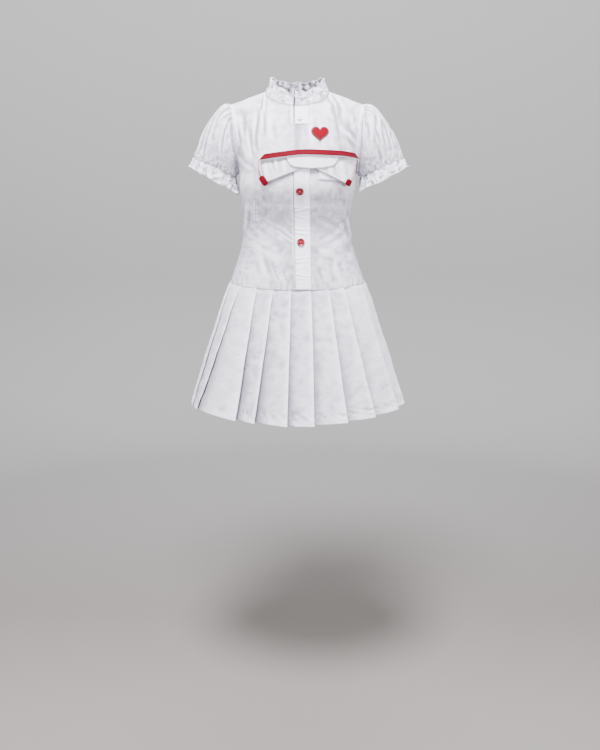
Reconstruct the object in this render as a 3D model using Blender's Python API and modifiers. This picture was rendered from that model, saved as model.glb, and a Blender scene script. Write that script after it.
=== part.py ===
"""White nurse dress in its worn, hollow form: bodice, puff sleeves, ruffled collar and pleated skirt.

Metres, +Z up. The origin is midway between the two points where shoulder seam and neckline meet.
The front faces -Y, and +X is the wearer's left.
"""

from collections import namedtuple
from math import pi

import bpy
import numpy as np
from mathutils import Vector
from mathutils.bvhtree import BVHTree

# Cloth and seams
CLOTH = 0.0012
SKIRT_CLOTH = 0.0010
TRIM_CLOTH = 0.0010
SEAM_GAP = 0.0003
PANEL_HALF_GAP = 0.0003
SHOULDER_HALF_GAP = 0.0003
WAIST_GAP = 0.0009

# Torso: the sections from the waist seam up to the underarm
SQUARENESS = 2.4
CHEST = -0.182
SEAM_SIDE = -0.4395
SEAM_DIP = 0.0095
HIP_HALF = 0.1660
Section = namedtuple("Section", "height half_width front back")
TORSO = (
    Section(-0.449, 0.1665, 0.1185, 0.1125),
    Section(-0.420, 0.1560, 0.1150, 0.1050),
    Section(-0.385, 0.1440, 0.1100, 0.0930),
    Section(-0.345, 0.1330, 0.1030, 0.0840),
    Section(-0.300, 0.1300, 0.0990, 0.0800),
    Section(-0.255, 0.1325, 0.1120, 0.0870),
    Section(-0.210, 0.1365, 0.1270, 0.0970),
    Section(CHEST, 0.1365, 0.1255, 0.0985),
)

# Neckline and shoulders
NECK_HALF = 0.0742
NECK_SHARE = 0.5
SHOULDER_TIP = (0.1560, 0.0, -0.0280)
NECK_DEPTH = {-1: 0.062, 1: 0.060}
NECK_DROP = {-1: 0.038, 1: 0.010}

# Columns of cloth from the chest line up to the neckline, shoulder seam and armhole: each is a
# curve whose foot and head handles point out of the body (out), sideways and up
Column = namedtuple("Column", "reach foot_side foot_out foot_up head_side head_out head_up")
COLUMNS = {
    -1: (
        Column(0.00, 0.000, -0.002, 0.045, 0.000, 0.015, -0.027),
        Column(0.50, -0.002, 0.003, 0.050, 0.000, 0.055, -0.006),
        Column(0.75, -0.002, 0.020, 0.050, 0.000, 0.060, -0.004),
        Column(1.00, 0.006, 0.068, 0.020, -0.018, 0.066, -0.024),
    ),
    1: (
        Column(0.00, 0.000, 0.004, 0.055, 0.000, 0.018, -0.030),
        Column(0.50, -0.002, 0.006, 0.055, 0.000, 0.050, -0.006),
        Column(0.75, -0.002, 0.020, 0.050, 0.000, 0.055, -0.004),
        Column(1.00, 0.005, 0.064, 0.020, -0.016, 0.062, -0.024),
    ),
}

# The bodice's largest folds, seen from the front: a ridge from one end to the other
Fold = namedtuple("Fold", "x z x_end z_end width height")
FRONT_FOLDS = (
    Fold(-0.139, -0.066, -0.110, -0.150, 0.0120, 0.0035),
    Fold(0.090, -0.030, 0.128, -0.080, 0.0110, 0.0025),
    Fold(-0.098, -0.290, -0.038, -0.328, 0.0120, 0.0030),
    Fold(-0.105, -0.345, -0.045, -0.378, 0.0130, 0.0020),
    Fold(0.112, -0.335, 0.060, -0.365, 0.0130, 0.0020),
)
BACK_FOLDS = (
    Fold(-0.130, -0.070, -0.100, -0.150, 0.0120, 0.0030),
    Fold(0.130, -0.070, 0.104, -0.145, 0.0120, 0.0030),
    Fold(-0.085, -0.290, -0.015, -0.305, 0.0120, 0.0025),
    Fold(0.095, -0.315, 0.020, -0.330, 0.0130, 0.0025),
)

# Columns and rows of the two panels: half the columns, the rows up to the chest line, and above it
FRONT_COUNTS = (12, 11, 8)
BACK_COUNTS = (8, 7, 8)
SMOOTH_COUNTS = (40, 60, 50)

# Neck slit
SLIT_TURN = -0.032
BESIDE_SLIT_TURN = 0.034
SLIT_HALF = 0.0004
SLIT_FOOT = -0.078

# Collar: each row is a ring at a share of the stand's height, with its own ruffle
COLLAR_TOP_HALF = 0.0575
COLLAR_TOP_DEPTH = {-1: 0.0500, 1: 0.0480}
COLLAR_TOP_SIDE = 0.034
COLLAR_TOP_DROP = {-1: 0.038, 1: 0.007}
COLLAR_WAVES = 20
WAVE_STEPS = 4
Ruffle = namedtuple("Ruffle", "share depth lift")
COLLAR_RUFFLE = (
    Ruffle(0.00, 0.0000, 0.0000),
    Ruffle(0.28, 0.0012, 0.0000),
    Ruffle(0.46, 0.0006, 0.0000),
    Ruffle(0.74, 0.0024, 0.0006),
    Ruffle(1.00, 0.0034, 0.0016),
)

# Sleeves, as the wearer's left one: the elastic ring and the frill's hem ring are tilted ovals
Oval = namedtuple("Oval", "x z half_x half_z half_depth")
ELASTIC = Oval(0.1980, -0.1695, 0.0496, 0.0225, 0.0500)
FRILL_HEM = Oval(0.2010, -0.2005, 0.0575, 0.0317, 0.0585)
SLEEVE_COLUMNS = 36
SLEEVE_ROWS = 6
SLEEVE_MIDDLE = (0.178, 0.0, -0.110)
SLEEVE_FOOT_EASE = 0.0016
CAP_FOLDS = 9
CAP_FOLD_HEIGHT = 0.0030
FRILL_WAVES = 15
FRILL_GAP = 0.0004
FRILL_RUFFLE = (
    Ruffle(0.00, 0.0010, 0.0000),
    Ruffle(0.50, 0.0022, 0.0000),
    Ruffle(1.00, 0.0034, 0.0015),
)

# Skirt: rings from the waist seam down to the hem, and the folds of its knife pleats
HEM = -0.7565
HEM_RISE = 0.0135
HEM_CURVE = 1.2
HEM_HALF = 0.2700
PLEATS = 22
LINE_POINTS = 241
UNDERLAY = 0.020
LAYER = 0.0017
Ring = namedtuple("Ring", "fall half_width front back squareness fold_depth")
SKIRT = (
    Ring(0.00, 0.1660, 0.1180, 0.1125, 2.40, 0.0052),
    Ring(0.15, 0.1840, 0.1290, 0.1240, 2.30, 0.0070),
    Ring(0.32, 0.2010, 0.1420, 0.1380, 2.15, 0.0100),
    Ring(0.55, 0.2260, 0.1590, 0.1560, 2.00, 0.0150),
    Ring(0.78, 0.2480, 0.1750, 0.1730, 1.90, 0.0195),
    Ring(1.00, 0.2700, 0.1900, 0.1890, 1.85, 0.0230),
)

# A pleat's face, from its hidden start to its fold: the share of the way, and of the fold's depth
PLEAT_FACE = ((0.0, 1.0), (0.40, 0.60), (0.72, 0.26), (1.0, 0.0))

# Where a pleat's fold lies off its even place, in pleats, at the waist and at the hem
Crease = namedtuple("Crease", "pleat waist hem")
CREASES = (
    Crease(0, 0.00, -0.10),
    Crease(1, -0.05, -0.35),
    Crease(2, 0.05, -0.53),
    Crease(3, 0.21, 0.17),
    Crease(4, 0.15, -0.09),
    Crease(5, 0.14, 0.12),
    Crease(6, 0.22, 0.09),
    Crease(7, 0.22, 0.34),
    Crease(8, 0.09, 0.49),
    Crease(9, 0.45, 0.90),
    Crease(10, 0.50, 0.80),
    Crease(11, 0.40, 0.55),
    Crease(12, 0.20, 0.25),
    Crease(13, 0.05, -0.10),
    Crease(14, -0.05, 0.12),
    Crease(15, 0.08, -0.15),
    Crease(16, -0.06, 0.10),
    Crease(17, 0.05, 0.22),
    Crease(18, -0.04, -0.12),
    Crease(19, 0.06, 0.15),
    Crease(20, -0.05, -0.08),
    Crease(21, 0.03, 0.05),
    Crease(22, 0.00, -0.10),
)

# Trim on the front, by its place seen from the front
TRIM_LIFT = 0.0007
BAND = {"top": -0.1720, "foot": -0.4475, "left": -0.0078, "right": 0.0277}
BAND_DRIFT = 0.0042
TAB = {"left": -0.0070, "right": 0.0258, "top": -0.0405, "foot": -0.0808}
BUTTON_STEPS = 18
BUTTON_RADIUS = 0.0090
BUTTON_THICKNESS = 0.0030
BUTTON_UPPER = (0.0056, -0.2265)
BUTTON_LOWER = (0.0080, -0.3406)
NECK_BUTTON_RADIUS = 0.0050
NECK_BUTTON_THICKNESS = 0.0022
NECK_BUTTON = (0.0062, -0.0690)
HEART = {"x": 0.0506, "z": -0.1010, "half": 0.0180}
HEART_POINTS = 28
HEART_RINGS = 3
WELT = {"left": 0.0488, "right": 0.0950, "top": -0.1815, "foot": -0.2050, "slope": -0.0030}

# Chest flap: the middle line of its ribbon, and the corners of what hangs from it; the wearer's
# right side is -1 and the left side is 1
Arc = namedtuple("Arc", "x z")
FLAP_LINE = (
    Arc(-0.0800, -0.1540),
    Arc(-0.0352, -0.1472),
    Arc(0.0175, -0.1429),
    Arc(0.0521, -0.1437),
    Arc(0.1101, -0.1473),
    Arc(0.1320, -0.1516),
)
FLAP_COLUMNS = 18
RIBBON_WIDTH = 0.0098
FLAP_BAND_WIDTH = 0.0142
FLAP_BAND_DROP = 0.0018
BAND_OVERHANG = 0.0015
FLAP_CENTRE = 0.0245
FLAP_EASE = 0.0010
WING_OUTER = {-1: (-0.0860, -0.1570), 1: (0.1330, -0.1565)}
WING_CORNER = {-1: (-0.0735, -0.2113), 1: (0.1165, -0.2135)}
WING_FLARE = {-1: 0.0022, 1: 0.0070}
FLAP_TOP_FLARE = 0.35
WING_BULGE = 0.0085
WING_FLAT = {-1: 0.0106, 1: 0.0383}
WING_FOOT = -0.1784
WING_COLUMNS = 8
WING_ROWS = 4
WING_STAND = 0.0026
TAB_TOP = (-0.0250, 0.0950)
TAB_FOOT = (-0.0140, 0.0815)
TAB_FOOT_Z = -0.1742
TIP_HALF = 0.0076
TIP_RISE = 0.0146
TIP_INSET = 0.0032
TIP_LEAN = 0.0068
TIP_SLOPE = 0.0016
TIP_FOOT_SHARE = 0.65

WHITE = (0.86, 0.86, 0.90, 1.0)
RED = (0.62, 0.025, 0.045, 1.0)


# Small helpers


def read(table, key, name, at):
    """The smooth value of one of a table's columns, at places along its key column."""
    rows = sorted(table, key=lambda row: getattr(row, key))
    keys = np.array([getattr(row, key) for row in rows])
    values = np.array([getattr(row, name) for row in rows])
    slopes = np.gradient(values, keys)
    at = np.clip(np.asarray(at, dtype=float), keys[0], keys[-1])
    spot = np.clip(np.searchsorted(keys, at) - 1, 0, len(keys) - 2)
    span = keys[spot + 1] - keys[spot]
    u = (at - keys[spot]) / span
    start = values[spot] * (1 + 2 * u) * (1 - u) ** 2 + slopes[spot] * span * u * (1 - u) ** 2
    end = values[spot + 1] * u**2 * (3 - 2 * u) + slopes[spot + 1] * span * u**2 * (u - 1)
    return start + end


def oval(turn, squareness):
    """Half of a rounded oval of unit size, as x and y: 2 is an ellipse, and more is squarer."""
    x = np.sin(turn * pi / 2)
    y = np.cos(turn * pi / 2)
    size = (np.abs(x) ** squareness + np.abs(y) ** squareness) ** (-1 / squareness)
    return x * size, y * size


def mix(start, end, share):
    return start + (end - start) * share


def points(x, y, z):
    """One array of points from three arrays, stretched to the same shape."""
    return np.stack(np.broadcast_arrays(x, y, z), axis=-1).astype(float)


def bezier(corners, share):
    """Points of cubic curves, from four arrays of corner points."""
    u = np.asarray(share)[..., None]
    first, second, third, last = corners
    return (1 - u) ** 3 * first + 3 * u * (1 - u) ** 2 * second + 3 * u**2 * (1 - u) * third + u**3 * last


def outward(grid):
    """The unit normals of a grid whose columns run round and whose rows run up."""
    across = np.gradient(grid, axis=1)
    upward = np.gradient(grid, axis=0)
    normal = np.cross(across, upward)
    return normal / np.linalg.norm(normal, axis=-1, keepdims=True)


def along(line, share):
    """Points at shares of the length of a line of points."""
    steps = np.linalg.norm(np.diff(line, axis=0), axis=1)
    run = np.concatenate(([0.0], np.cumsum(steps))) / steps.sum()
    return np.stack([np.interp(share, run, line[:, axis]) for axis in range(3)], axis=-1)


def bend(grid, folds):
    """Lifts a grid along soft ridges, each fading at both ends."""
    lift = np.zeros(grid.shape[:2])
    for fold in folds:
        start = np.array((fold.x, fold.z))
        run = np.array((fold.x_end, fold.z_end)) - start
        length = np.linalg.norm(run)
        offset = grid[..., (0, 2)] - start
        share = offset @ run / length**2
        aside = (offset[..., 0] * run[1] - offset[..., 1] * run[0]) / length
        beyond = np.clip(np.abs(share - 0.5) - 0.5, 0, None) * length
        lift += fold.height * np.exp(-((aside / fold.width) ** 2) - (beyond / fold.width) ** 2)
    return grid + outward(grid) * lift[..., None]


# Bodice


def torso_point(turn, height, side):
    """A point of the torso's section: turn runs from -1, the right side, to 1, the left side."""
    half_width = read(TORSO, "height", "half_width", height)
    depth = read(TORSO, "height", "front" if side < 0 else "back", height)
    x, y = oval(turn, SQUARENESS)
    return points(half_width * x, side * depth * y, height)


def seam_height(x):
    """The waist seam lies lowest in the middle."""
    return SEAM_SIDE - SEAM_DIP * (1 - (x / HIP_HALF) ** 2)


def top_edge(turn, side):
    """The neckline, and past it the shoulder seam."""
    reach = np.abs(turn)
    swing = np.minimum(reach / NECK_SHARE, 1) * pi / 2
    past = np.clip((reach - NECK_SHARE) / (1 - NECK_SHARE), 0, 1)
    x = NECK_HALF * np.sin(swing) + past * (SHOULDER_TIP[0] - NECK_HALF)
    y = side * (NECK_DEPTH[side] * np.cos(swing) + SHOULDER_HALF_GAP * np.sin(swing) ** 8)
    z = -NECK_DROP[side] * np.cos(swing) + past * SHOULDER_TIP[2]
    return points(np.sign(turn) * x, y, z)


def handle(turn, side, end):
    table = COLUMNS[side]
    reach = np.abs(turn)
    sideways = np.sign(turn) * read(table, "reach", end + "_side", reach)
    out = side * read(table, "reach", end + "_out", reach)
    return points(sideways, out, read(table, "reach", end + "_up", reach))


def bodice_grid(turns, low_rows, high_rows, side):
    """Rows from the waist seam up to the chest line, then on to the top edge."""
    turn = turns[None, :]
    rise = np.linspace(0, 1, low_rows + 1)[:, None]
    foot = seam_height(torso_point(turn, np.full_like(turn, SEAM_SIDE), side)[..., 0])
    low = torso_point(turn, mix(foot, CHEST, rise), side)
    chest = low[-1]
    head = top_edge(turns, side)
    corners = (chest, chest + handle(turns, side, "foot"), head + handle(turns, side, "head"), head)
    shares = np.linspace(0, 1, high_rows + 1)[1:]
    high = np.stack([bezier(corners, np.full(len(turns), share)) for share in shares])
    grid = np.concatenate((low, high))
    grid[..., 1] += side * PANEL_HALF_GAP
    return grid


def front_turns(half_count):
    """Columns of the front panel, one of them at the neck slit."""
    turns = np.linspace(-1, 1, 2 * half_count + 1)
    return np.concatenate((turns[:half_count], [SLIT_TURN, BESIDE_SLIT_TURN], turns[half_count + 1:]))


def bodice_front_grid(turns, low_rows, high_rows):
    """The front's columns run from the wearer's right to the left."""
    return bend(bodice_grid(turns, low_rows, high_rows, -1), FRONT_FOLDS)


def bodice_back_grid(half_count, low_rows, high_rows):
    """The back's columns run from the wearer's left to the right, so that it faces out."""
    turns = np.linspace(1, -1, 2 * half_count + 1)
    return bend(bodice_grid(turns, low_rows, high_rows, 1), BACK_FOLDS)


# Collar and sleeves


def ruffled(start, end, outwards, waves, rows, phase):
    """Rings between two rings, waved outwards by a table of ruffle rows."""
    grid = []
    for row in rows:
        swing = np.cos(waves * phase) * (0.8 + 0.25 * np.sin(3 * phase + 1.0))
        lift = row.lift * np.sin(0.5 * waves * phase + 0.7)
        ring = mix(start, end, row.share) + outwards * (row.depth * swing)[:, None]
        ring[:, 2] += lift
        grid.append(ring)
    return np.array(grid)


def collar_grid(neckline):
    """A ruffled stand on the neckline's points, which run round from the slit and back to it."""
    count = COLLAR_WAVES * WAVE_STEPS
    share = np.linspace(0, 1, count + 1)
    base = along(neckline, share)
    swing = np.arctan2(base[:, 0] / NECK_HALF, -base[:, 1] / NECK_DEPTH[-1])
    front = np.cos(swing) > 0
    depth = np.where(front, COLLAR_TOP_DEPTH[-1], COLLAR_TOP_DEPTH[1])
    drop = np.where(front, COLLAR_TOP_DROP[-1], COLLAR_TOP_DROP[1])
    top_z = COLLAR_TOP_SIDE - drop * np.abs(np.cos(swing))
    top = points(COLLAR_TOP_HALF * np.sin(swing), -depth * np.cos(swing), top_z)
    aside = points(np.sin(swing), -np.cos(swing), 0.0)
    base = base - aside * SEAM_GAP
    base[:, 2] += SEAM_GAP
    phase = 2 * pi * share
    return ruffled(base, top, aside, COLLAR_WAVES, COLLAR_RUFFLE, phase)


def oval_point(oval, angle):
    """A ring round the arm: angle 0 lies at the body, a quarter turn at the front."""
    x = oval.x - oval.half_x * np.cos(angle)
    z = oval.z - oval.half_z * np.cos(angle)
    return points(x, -oval.half_depth * np.sin(angle), z)


def armhole_ring(front_edge, back_edge, angle):
    """The armhole's points by angle, from its front and back edges, each given foot to tip."""
    front = along(front_edge, np.clip(angle / pi, 0, 1))
    back = along(back_edge, np.clip(2 - angle / pi, 0, 1))
    return np.where((angle <= pi)[:, None], front, back)


def sleeve_grid(front_edge, back_edge):
    """A puff sleeve from the elastic up to the armhole, with soft folds round its cap."""
    angle = np.linspace(0, 2 * pi, SLEEVE_COLUMNS + 1)[:-1]
    up = (1 - np.cos(angle)) / 2
    forward = np.sin(angle)
    armhole = armhole_ring(front_edge, back_edge, angle)
    armhole[:, 0] += SEAM_GAP + SLEEVE_FOOT_EASE * (1 - up) ** 2
    armhole[:, 2] += SEAM_GAP * up
    cuff = oval_point(ELASTIC, angle)
    from_armhole = points(mix(0.005, 0.030, up), -0.026 * forward, mix(-0.004, 0.016, up))
    to_cuff = points(mix(-0.003, -0.021, up), -0.015 * forward, mix(0.006, 0.057, up))
    corners = (armhole, armhole + from_armhole, cuff + to_cuff, cuff)
    rows = [bezier(corners, np.full(len(angle), share)) for share in np.linspace(1, 0, SLEEVE_ROWS + 1)]
    grid = np.array(rows)
    away = grid - np.array(SLEEVE_MIDDLE)
    away = away / np.linalg.norm(away, axis=-1, keepdims=True)
    fade = np.sin(np.linspace(0, 1, SLEEVE_ROWS + 1) * pi) ** 0.6
    gather = np.cos(CAP_FOLDS * angle) * up * CAP_FOLD_HEIGHT
    return grid + away * (fade[:, None] * gather)[..., None]


def frill_grid():
    """The waved frill below the elastic, from its hem up."""
    angle = np.linspace(0, 2 * pi, FRILL_WAVES * WAVE_STEPS + 1)[:-1]
    start = oval_point(ELASTIC, angle)
    end = oval_point(FRILL_HEM, angle)
    drop = np.array((FRILL_HEM.x - ELASTIC.x, 0.0, FRILL_HEM.z - ELASTIC.z))
    start = start + drop / np.linalg.norm(drop) * FRILL_GAP
    slope = ELASTIC.half_z / ELASTIC.half_x
    aside = points(-np.cos(angle), -np.sin(angle), -slope * np.cos(angle))
    grid = ruffled(start, end, aside, FRILL_WAVES, FRILL_RUFFLE, angle)
    return grid[::-1]


def mirrored(grid):
    """The wearer's right twin of a piece, still facing out."""
    twin = grid[:, ::-1].copy()
    twin[..., 0] *= -1
    return twin


# Skirt


def skirt_line(ring, side):
    """Half of a skirt ring as a dense line: the front runs to the left, the back to the right."""
    turn = np.linspace(-1, 1, LINE_POINTS) * (-side)
    depth = ring.front if side < 0 else ring.back
    x, y = oval(turn, ring.squareness)
    return points(ring.half_width * x, side * depth * y, 0.0)


def skirt_point(ring, place, inward):
    """A point at a place round the ring, in pleats from the right side, moved in by a depth."""
    place = place % PLEATS
    half = PLEATS / 2
    side = -1 if place < half else 1
    line = skirt_line(ring, side)
    share = (place % half) / half
    spot = along(line, share)
    ahead = along(line, min(share + 1 / LINE_POINTS, 1.0)) - along(line, max(share - 1 / LINE_POINTS, 0.0))
    ahead = ahead / np.linalg.norm(ahead)
    x = spot[0] - ahead[1] * inward
    y = spot[1] + ahead[0] * inward
    waist = seam_height(min(abs(x), HIP_HALF)) - WAIST_GAP
    height = mix(waist, hem_height(x), ring.fall)
    return (x, y, height)


def hem_height(x):
    """The hem lies lowest in the middle, as the waist seam does."""
    return HEM + HEM_RISE * np.abs(x / HEM_HALF) ** HEM_CURVE


def skirt_pitch(ring):
    """The length of one pleat round the ring."""
    total = 0.0
    for side in (-1, 1):
        line = skirt_line(ring, side)
        total += np.linalg.norm(np.diff(line, axis=0), axis=1).sum()
    return total / PLEATS


def pleat_stops(ring, edge, before):
    """One pleat's folds as (place, depth): its hidden start, its face, and the underlay."""
    under = UNDERLAY / skirt_pitch(ring)
    deep = ring.fold_depth
    start = before - under
    face = [(mix(start, edge, share), deep * depth) for share, depth in PLEAT_FACE]
    return [*face, (edge, LAYER), (edge - under, deep - LAYER)]


def underlay_middle(ring, edge, step):
    """Halfway along the underlay, where a panel of the skirt ends, moved by a step."""
    pitch = skirt_pitch(ring)
    under = UNDERLAY / pitch
    return (edge - under / 2 + step / pitch, ring.fold_depth / 2)


def fold_place(pleat, fall):
    """Where a pleat's outer fold lies round the skirt, in pleats."""
    crease = CREASES[pleat]
    return pleat + mix(crease.waist, crease.hem, fall)


def skirt_grid(first, last):
    """The pleats from one edge to another, cut in the middle of an underlay at both ends."""
    rows = []
    for ring in SKIRT:
        start = fold_place(first, ring.fall)
        stops = [underlay_middle(ring, start, -SEAM_GAP / 2)]
        stops.append((start - UNDERLAY / skirt_pitch(ring), ring.fold_depth - LAYER))
        for pleat in range(first + 1, last + 1):
            edge = fold_place(pleat, ring.fall)
            stops.extend(pleat_stops(ring, edge, fold_place(pleat - 1, ring.fall)))
        stops[-1] = underlay_middle(ring, fold_place(last, ring.fall), SEAM_GAP / 2)
        rows.append([skirt_point(ring, place, inward) for place, inward in stops])
    return np.array(rows)[::-1]


# Trim


def facing(grid):
    """A search tree of a grid's faces, to find the cloth's surface behind a place."""
    rows, columns = grid.shape[:2]
    corners = [Vector(point) for point in grid.reshape(-1, 3)]
    faces = []
    for row in range(rows - 1):
        for column in range(columns - 1):
            first = row * columns + column
            faces.append((first, first + 1, first + columns + 1, first + columns))
    return BVHTree.FromPolygons(corners, faces)


def on_front(trees, x, z, lift):
    """The point of the bodice's front at x and z, moved out by a lift, and which way is out."""
    start, back = Vector((x, -1.0, z)), Vector((0, 1, 0))
    panel, smooth = trees
    spot = panel.ray_cast(start, back)[0]
    normal = smooth.ray_cast(start, back)[1]
    if spot is None or normal is None:
        raise ValueError(f"no cloth behind x {x:.4f}, z {z:.4f}")
    return np.array(spot + normal * lift), normal


def laid(trees, flat, lift):
    """Lays a grid of (x, z) places on the front, each moved out by its lift."""
    lift = np.broadcast_to(lift, flat.shape[:2])
    grid = np.zeros(flat.shape[:2] + (3,))
    for index in np.ndindex(flat.shape[:2]):
        grid[index], _ = on_front(trees, flat[index][0], flat[index][1], lift[index])
    return grid


def flat_patch(left, right, foot, top, columns, rows):
    """A grid of places between four sides, each given as a function of its share."""
    across = np.linspace(0, 1, columns + 1)[None, :]
    up = np.linspace(0, 1, rows + 1)[:, None]
    x = mix(left(up), right(up), across)
    z = mix(foot(across), top(across), up)
    return np.stack(np.broadcast_arrays(x, z), axis=-1)


def placket_band_places(heights):
    """The band's rows lie on the panel's own rows, given by height, so that it lies flat on them."""
    spare = SEAM_GAP + CLOTH
    inside = heights[(heights > BAND["foot"] + spare) & (heights < BAND["top"] - spare)]
    rows = np.concatenate(([BAND["foot"]], inside, [BAND["top"]]))[:, None]
    up = (rows - BAND["foot"]) / (BAND["top"] - BAND["foot"])
    x = mix(BAND["left"], BAND["right"], np.linspace(0, 1, 4)[None, :]) + BAND_DRIFT * (1 - up)
    return np.stack(np.broadcast_arrays(x, rows), axis=-1)


def box_places(box, columns, rows, slope=0.0):
    def level(height):
        return lambda across: height + slope * across

    def edge(place):
        return lambda up: np.full_like(up, place)

    sides = (edge(box["left"]), edge(box["right"]), level(box["foot"]), level(box["top"]))
    return flat_patch(*sides, columns, rows)


def flap_line(x):
    return read(FLAP_LINE, "x", "z", x)


def strip_places(width, drop, start, end):
    """A strip along the flap's line, moved down by a drop, its ends cut at a slant."""
    share = np.linspace(0, 1, FLAP_COLUMNS + 1)[None, :]
    up = np.array((-0.5, 0.0, 0.5))[:, None]
    middle = (start + end) / 2
    reach = mix(start, end, share) - middle
    x = middle + reach * (1 - up * width / (end - start))
    z = flap_line(x) - drop + up * width
    return np.stack(np.broadcast_arrays(x, z), axis=-1)


def wing_edge(side, up):
    """The wing's outer edge, from its corner up to the band."""
    outer_x, _ = WING_OUTER[side]
    corner_x, _ = WING_CORNER[side]
    return mix(corner_x, outer_x, up) + side * WING_BULGE * np.sin(pi * up)


def wing_places(side):
    """A wing from the flap's centre to its slanted outer edge."""
    outer_x, outer_z = WING_OUTER[side]
    corner_x, corner_z = WING_CORNER[side]
    seam = FLAP_CENTRE + side * SEAM_GAP / 2
    up = np.linspace(0, 1, WING_ROWS + 1)[:, None]
    out = np.linspace(0, 1, WING_COLUMNS + 1)[None, :]
    x = mix(seam, wing_edge(side, up), out)
    flat = abs(WING_FLAT[side] - seam) / abs(corner_x - seam)
    foot = mix(WING_FOOT, corner_z, np.clip((out - flat) / (1 - flat), 0, 1))
    line = flap_line(mix(seam, outer_x, out)) - FLAP_BAND_DROP
    top = mix(line, outer_z, np.clip(out * 4 - 3, 0, 1))
    grid = np.stack(np.broadcast_arrays(x, mix(foot, top, up)), axis=-1)
    return grid if side > 0 else grid[:, ::-1]


def wing_lift(side):
    """The wing hangs free, so it stands off more towards its foot and its outer edge."""
    up = np.linspace(0, 1, WING_ROWS + 1)[:, None]
    out = np.linspace(0, 1, WING_COLUMNS + 1)[None, :]
    flare = WING_FLARE[side] * mix(1.0, FLAP_TOP_FLARE, up) * out**3
    lift = TRIM_LIFT + TRIM_CLOTH + WING_STAND * (1 - up) + flare
    return lift if side > 0 else lift[:, ::-1]


def flap_stand(places):
    """How far the band stands off with the wings' flaring top edges."""
    side = np.sign(places[..., 0] - FLAP_CENTRE)
    reach = np.where(side < 0, WING_OUTER[-1][0], WING_OUTER[1][0]) - FLAP_CENTRE
    flare = np.where(side < 0, WING_FLARE[-1], WING_FLARE[1])
    out = np.clip((places[..., 0] - FLAP_CENTRE) / reach, 0, 1.05)
    return flare * FLAP_TOP_FLARE * out**3


def flap_tab_places():
    up = np.linspace(0, 1, 4)[:, None]
    across = np.linspace(0, 1, 10)[None, :]
    x = mix(mix(TAB_FOOT[0], TAB_TOP[0], up), mix(TAB_FOOT[1], TAB_TOP[1], up), across)
    top = flap_line(mix(TAB_TOP[0], TAB_TOP[1], across)) - FLAP_BAND_DROP
    return np.stack(np.broadcast_arrays(x, mix(TAB_FOOT_Z, top, up)), axis=-1)


def tip_places(side):
    """A red tip folded over a wing's outer corner: a small slanted patch."""
    corner_x, corner_z = WING_CORNER[side]
    across = np.linspace(-1, 1, 4)[None, :]
    up = np.linspace(0, 1, 3)[:, None]
    half = TIP_HALF * mix(TIP_FOOT_SHARE, 1.0, up)
    x = corner_x - side * TIP_INSET + across * half + side * TIP_LEAN * up
    z = corner_z - SEAM_GAP + TIP_RISE * up - side * TIP_SLOPE * across
    return np.stack(np.broadcast_arrays(x, z), axis=-1)


def heart_places():
    """A plain heart, as rings about its middle."""
    angle = np.linspace(0, 2 * pi, HEART_POINTS + 1)[:-1]
    x = np.sin(angle) ** 3
    z = (13 * np.cos(angle) - 5 * np.cos(2 * angle) - 2 * np.cos(3 * angle) - np.cos(4 * angle)) / 17
    outline = np.stack((x, z), axis=-1) * HEART["half"]
    return np.array((HEART["x"], HEART["z"])), outline


# Making objects


def material(name, colour, roughness):
    made = bpy.data.materials.new(name)
    made.use_nodes = True
    shader = made.node_tree.nodes["Principled BSDF"]
    shader.inputs["Base Color"].default_value = colour
    shader.inputs["Roughness"].default_value = roughness
    shader.inputs["Metallic"].default_value = 0.0
    return made


def add_object(name, vertices, faces, finish, collection):
    mesh = bpy.data.meshes.new(name)
    mesh.from_pydata([tuple(vertex) for vertex in vertices], [], faces)
    mesh.materials.append(finish)
    made = bpy.data.objects.new(name, mesh)
    collection.objects.link(made)
    mesh.shade_smooth()
    return made


def thicken(made, wall):
    """Gives an open surface its wall, on the inner side."""
    solid = made.modifiers.new("Wall", "SOLIDIFY")
    solid.thickness = wall
    solid.offset = -1.0
    solid.use_even_offset = True
    solid.use_quality_normals = True
    return made


def grid_faces(rows, columns, wrap):
    faces = []
    for row in range(rows - 1):
        for column in range(columns if wrap else columns - 1):
            after = (column + 1) % columns
            here = row * columns
            above = here + columns
            faces.append((here + column, here + after, above + after, above + column))
    return faces


def cloth(name, grid, wall, finish, collection, wrap=False):
    """A sheet of cloth from a grid of points on its outer side."""
    rows, columns = grid.shape[:2]
    faces = grid_faces(rows, columns, wrap)
    return thicken(add_object(name, grid.reshape(-1, 3), faces, finish, collection), wall)


def slit_cloth(name, grid, wall, finish, collection, column, foot_row):
    """A sheet of cloth with a slit down one column, from its top edge to a row."""
    rows, columns = grid.shape[:2]
    vertices = [list(point) for point in grid.reshape(-1, 3)]
    far_side = {}
    for row in range(foot_row + 1, rows):
        near = row * columns + column
        far_side[near] = len(vertices)
        vertices.append([vertices[near][0] + SLIT_HALF, *vertices[near][1:]])
        vertices[near][0] -= SLIT_HALF
    faces = []
    for index, face in enumerate(grid_faces(rows, columns, False)):
        beyond = index % (columns - 1) >= column
        faces.append(tuple(far_side.get(corner, corner) if beyond else corner for corner in face))
    return thicken(add_object(name, vertices, faces, finish, collection), wall)


def skirt_panel(name, grid, finish, collection):
    """A pleated panel, its wall laid evenly on both sides of the folded line."""
    made = cloth(name, grid, SKIRT_CLOTH, finish, collection)
    made.modifiers["Wall"].offset = 0.0
    return made


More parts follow.
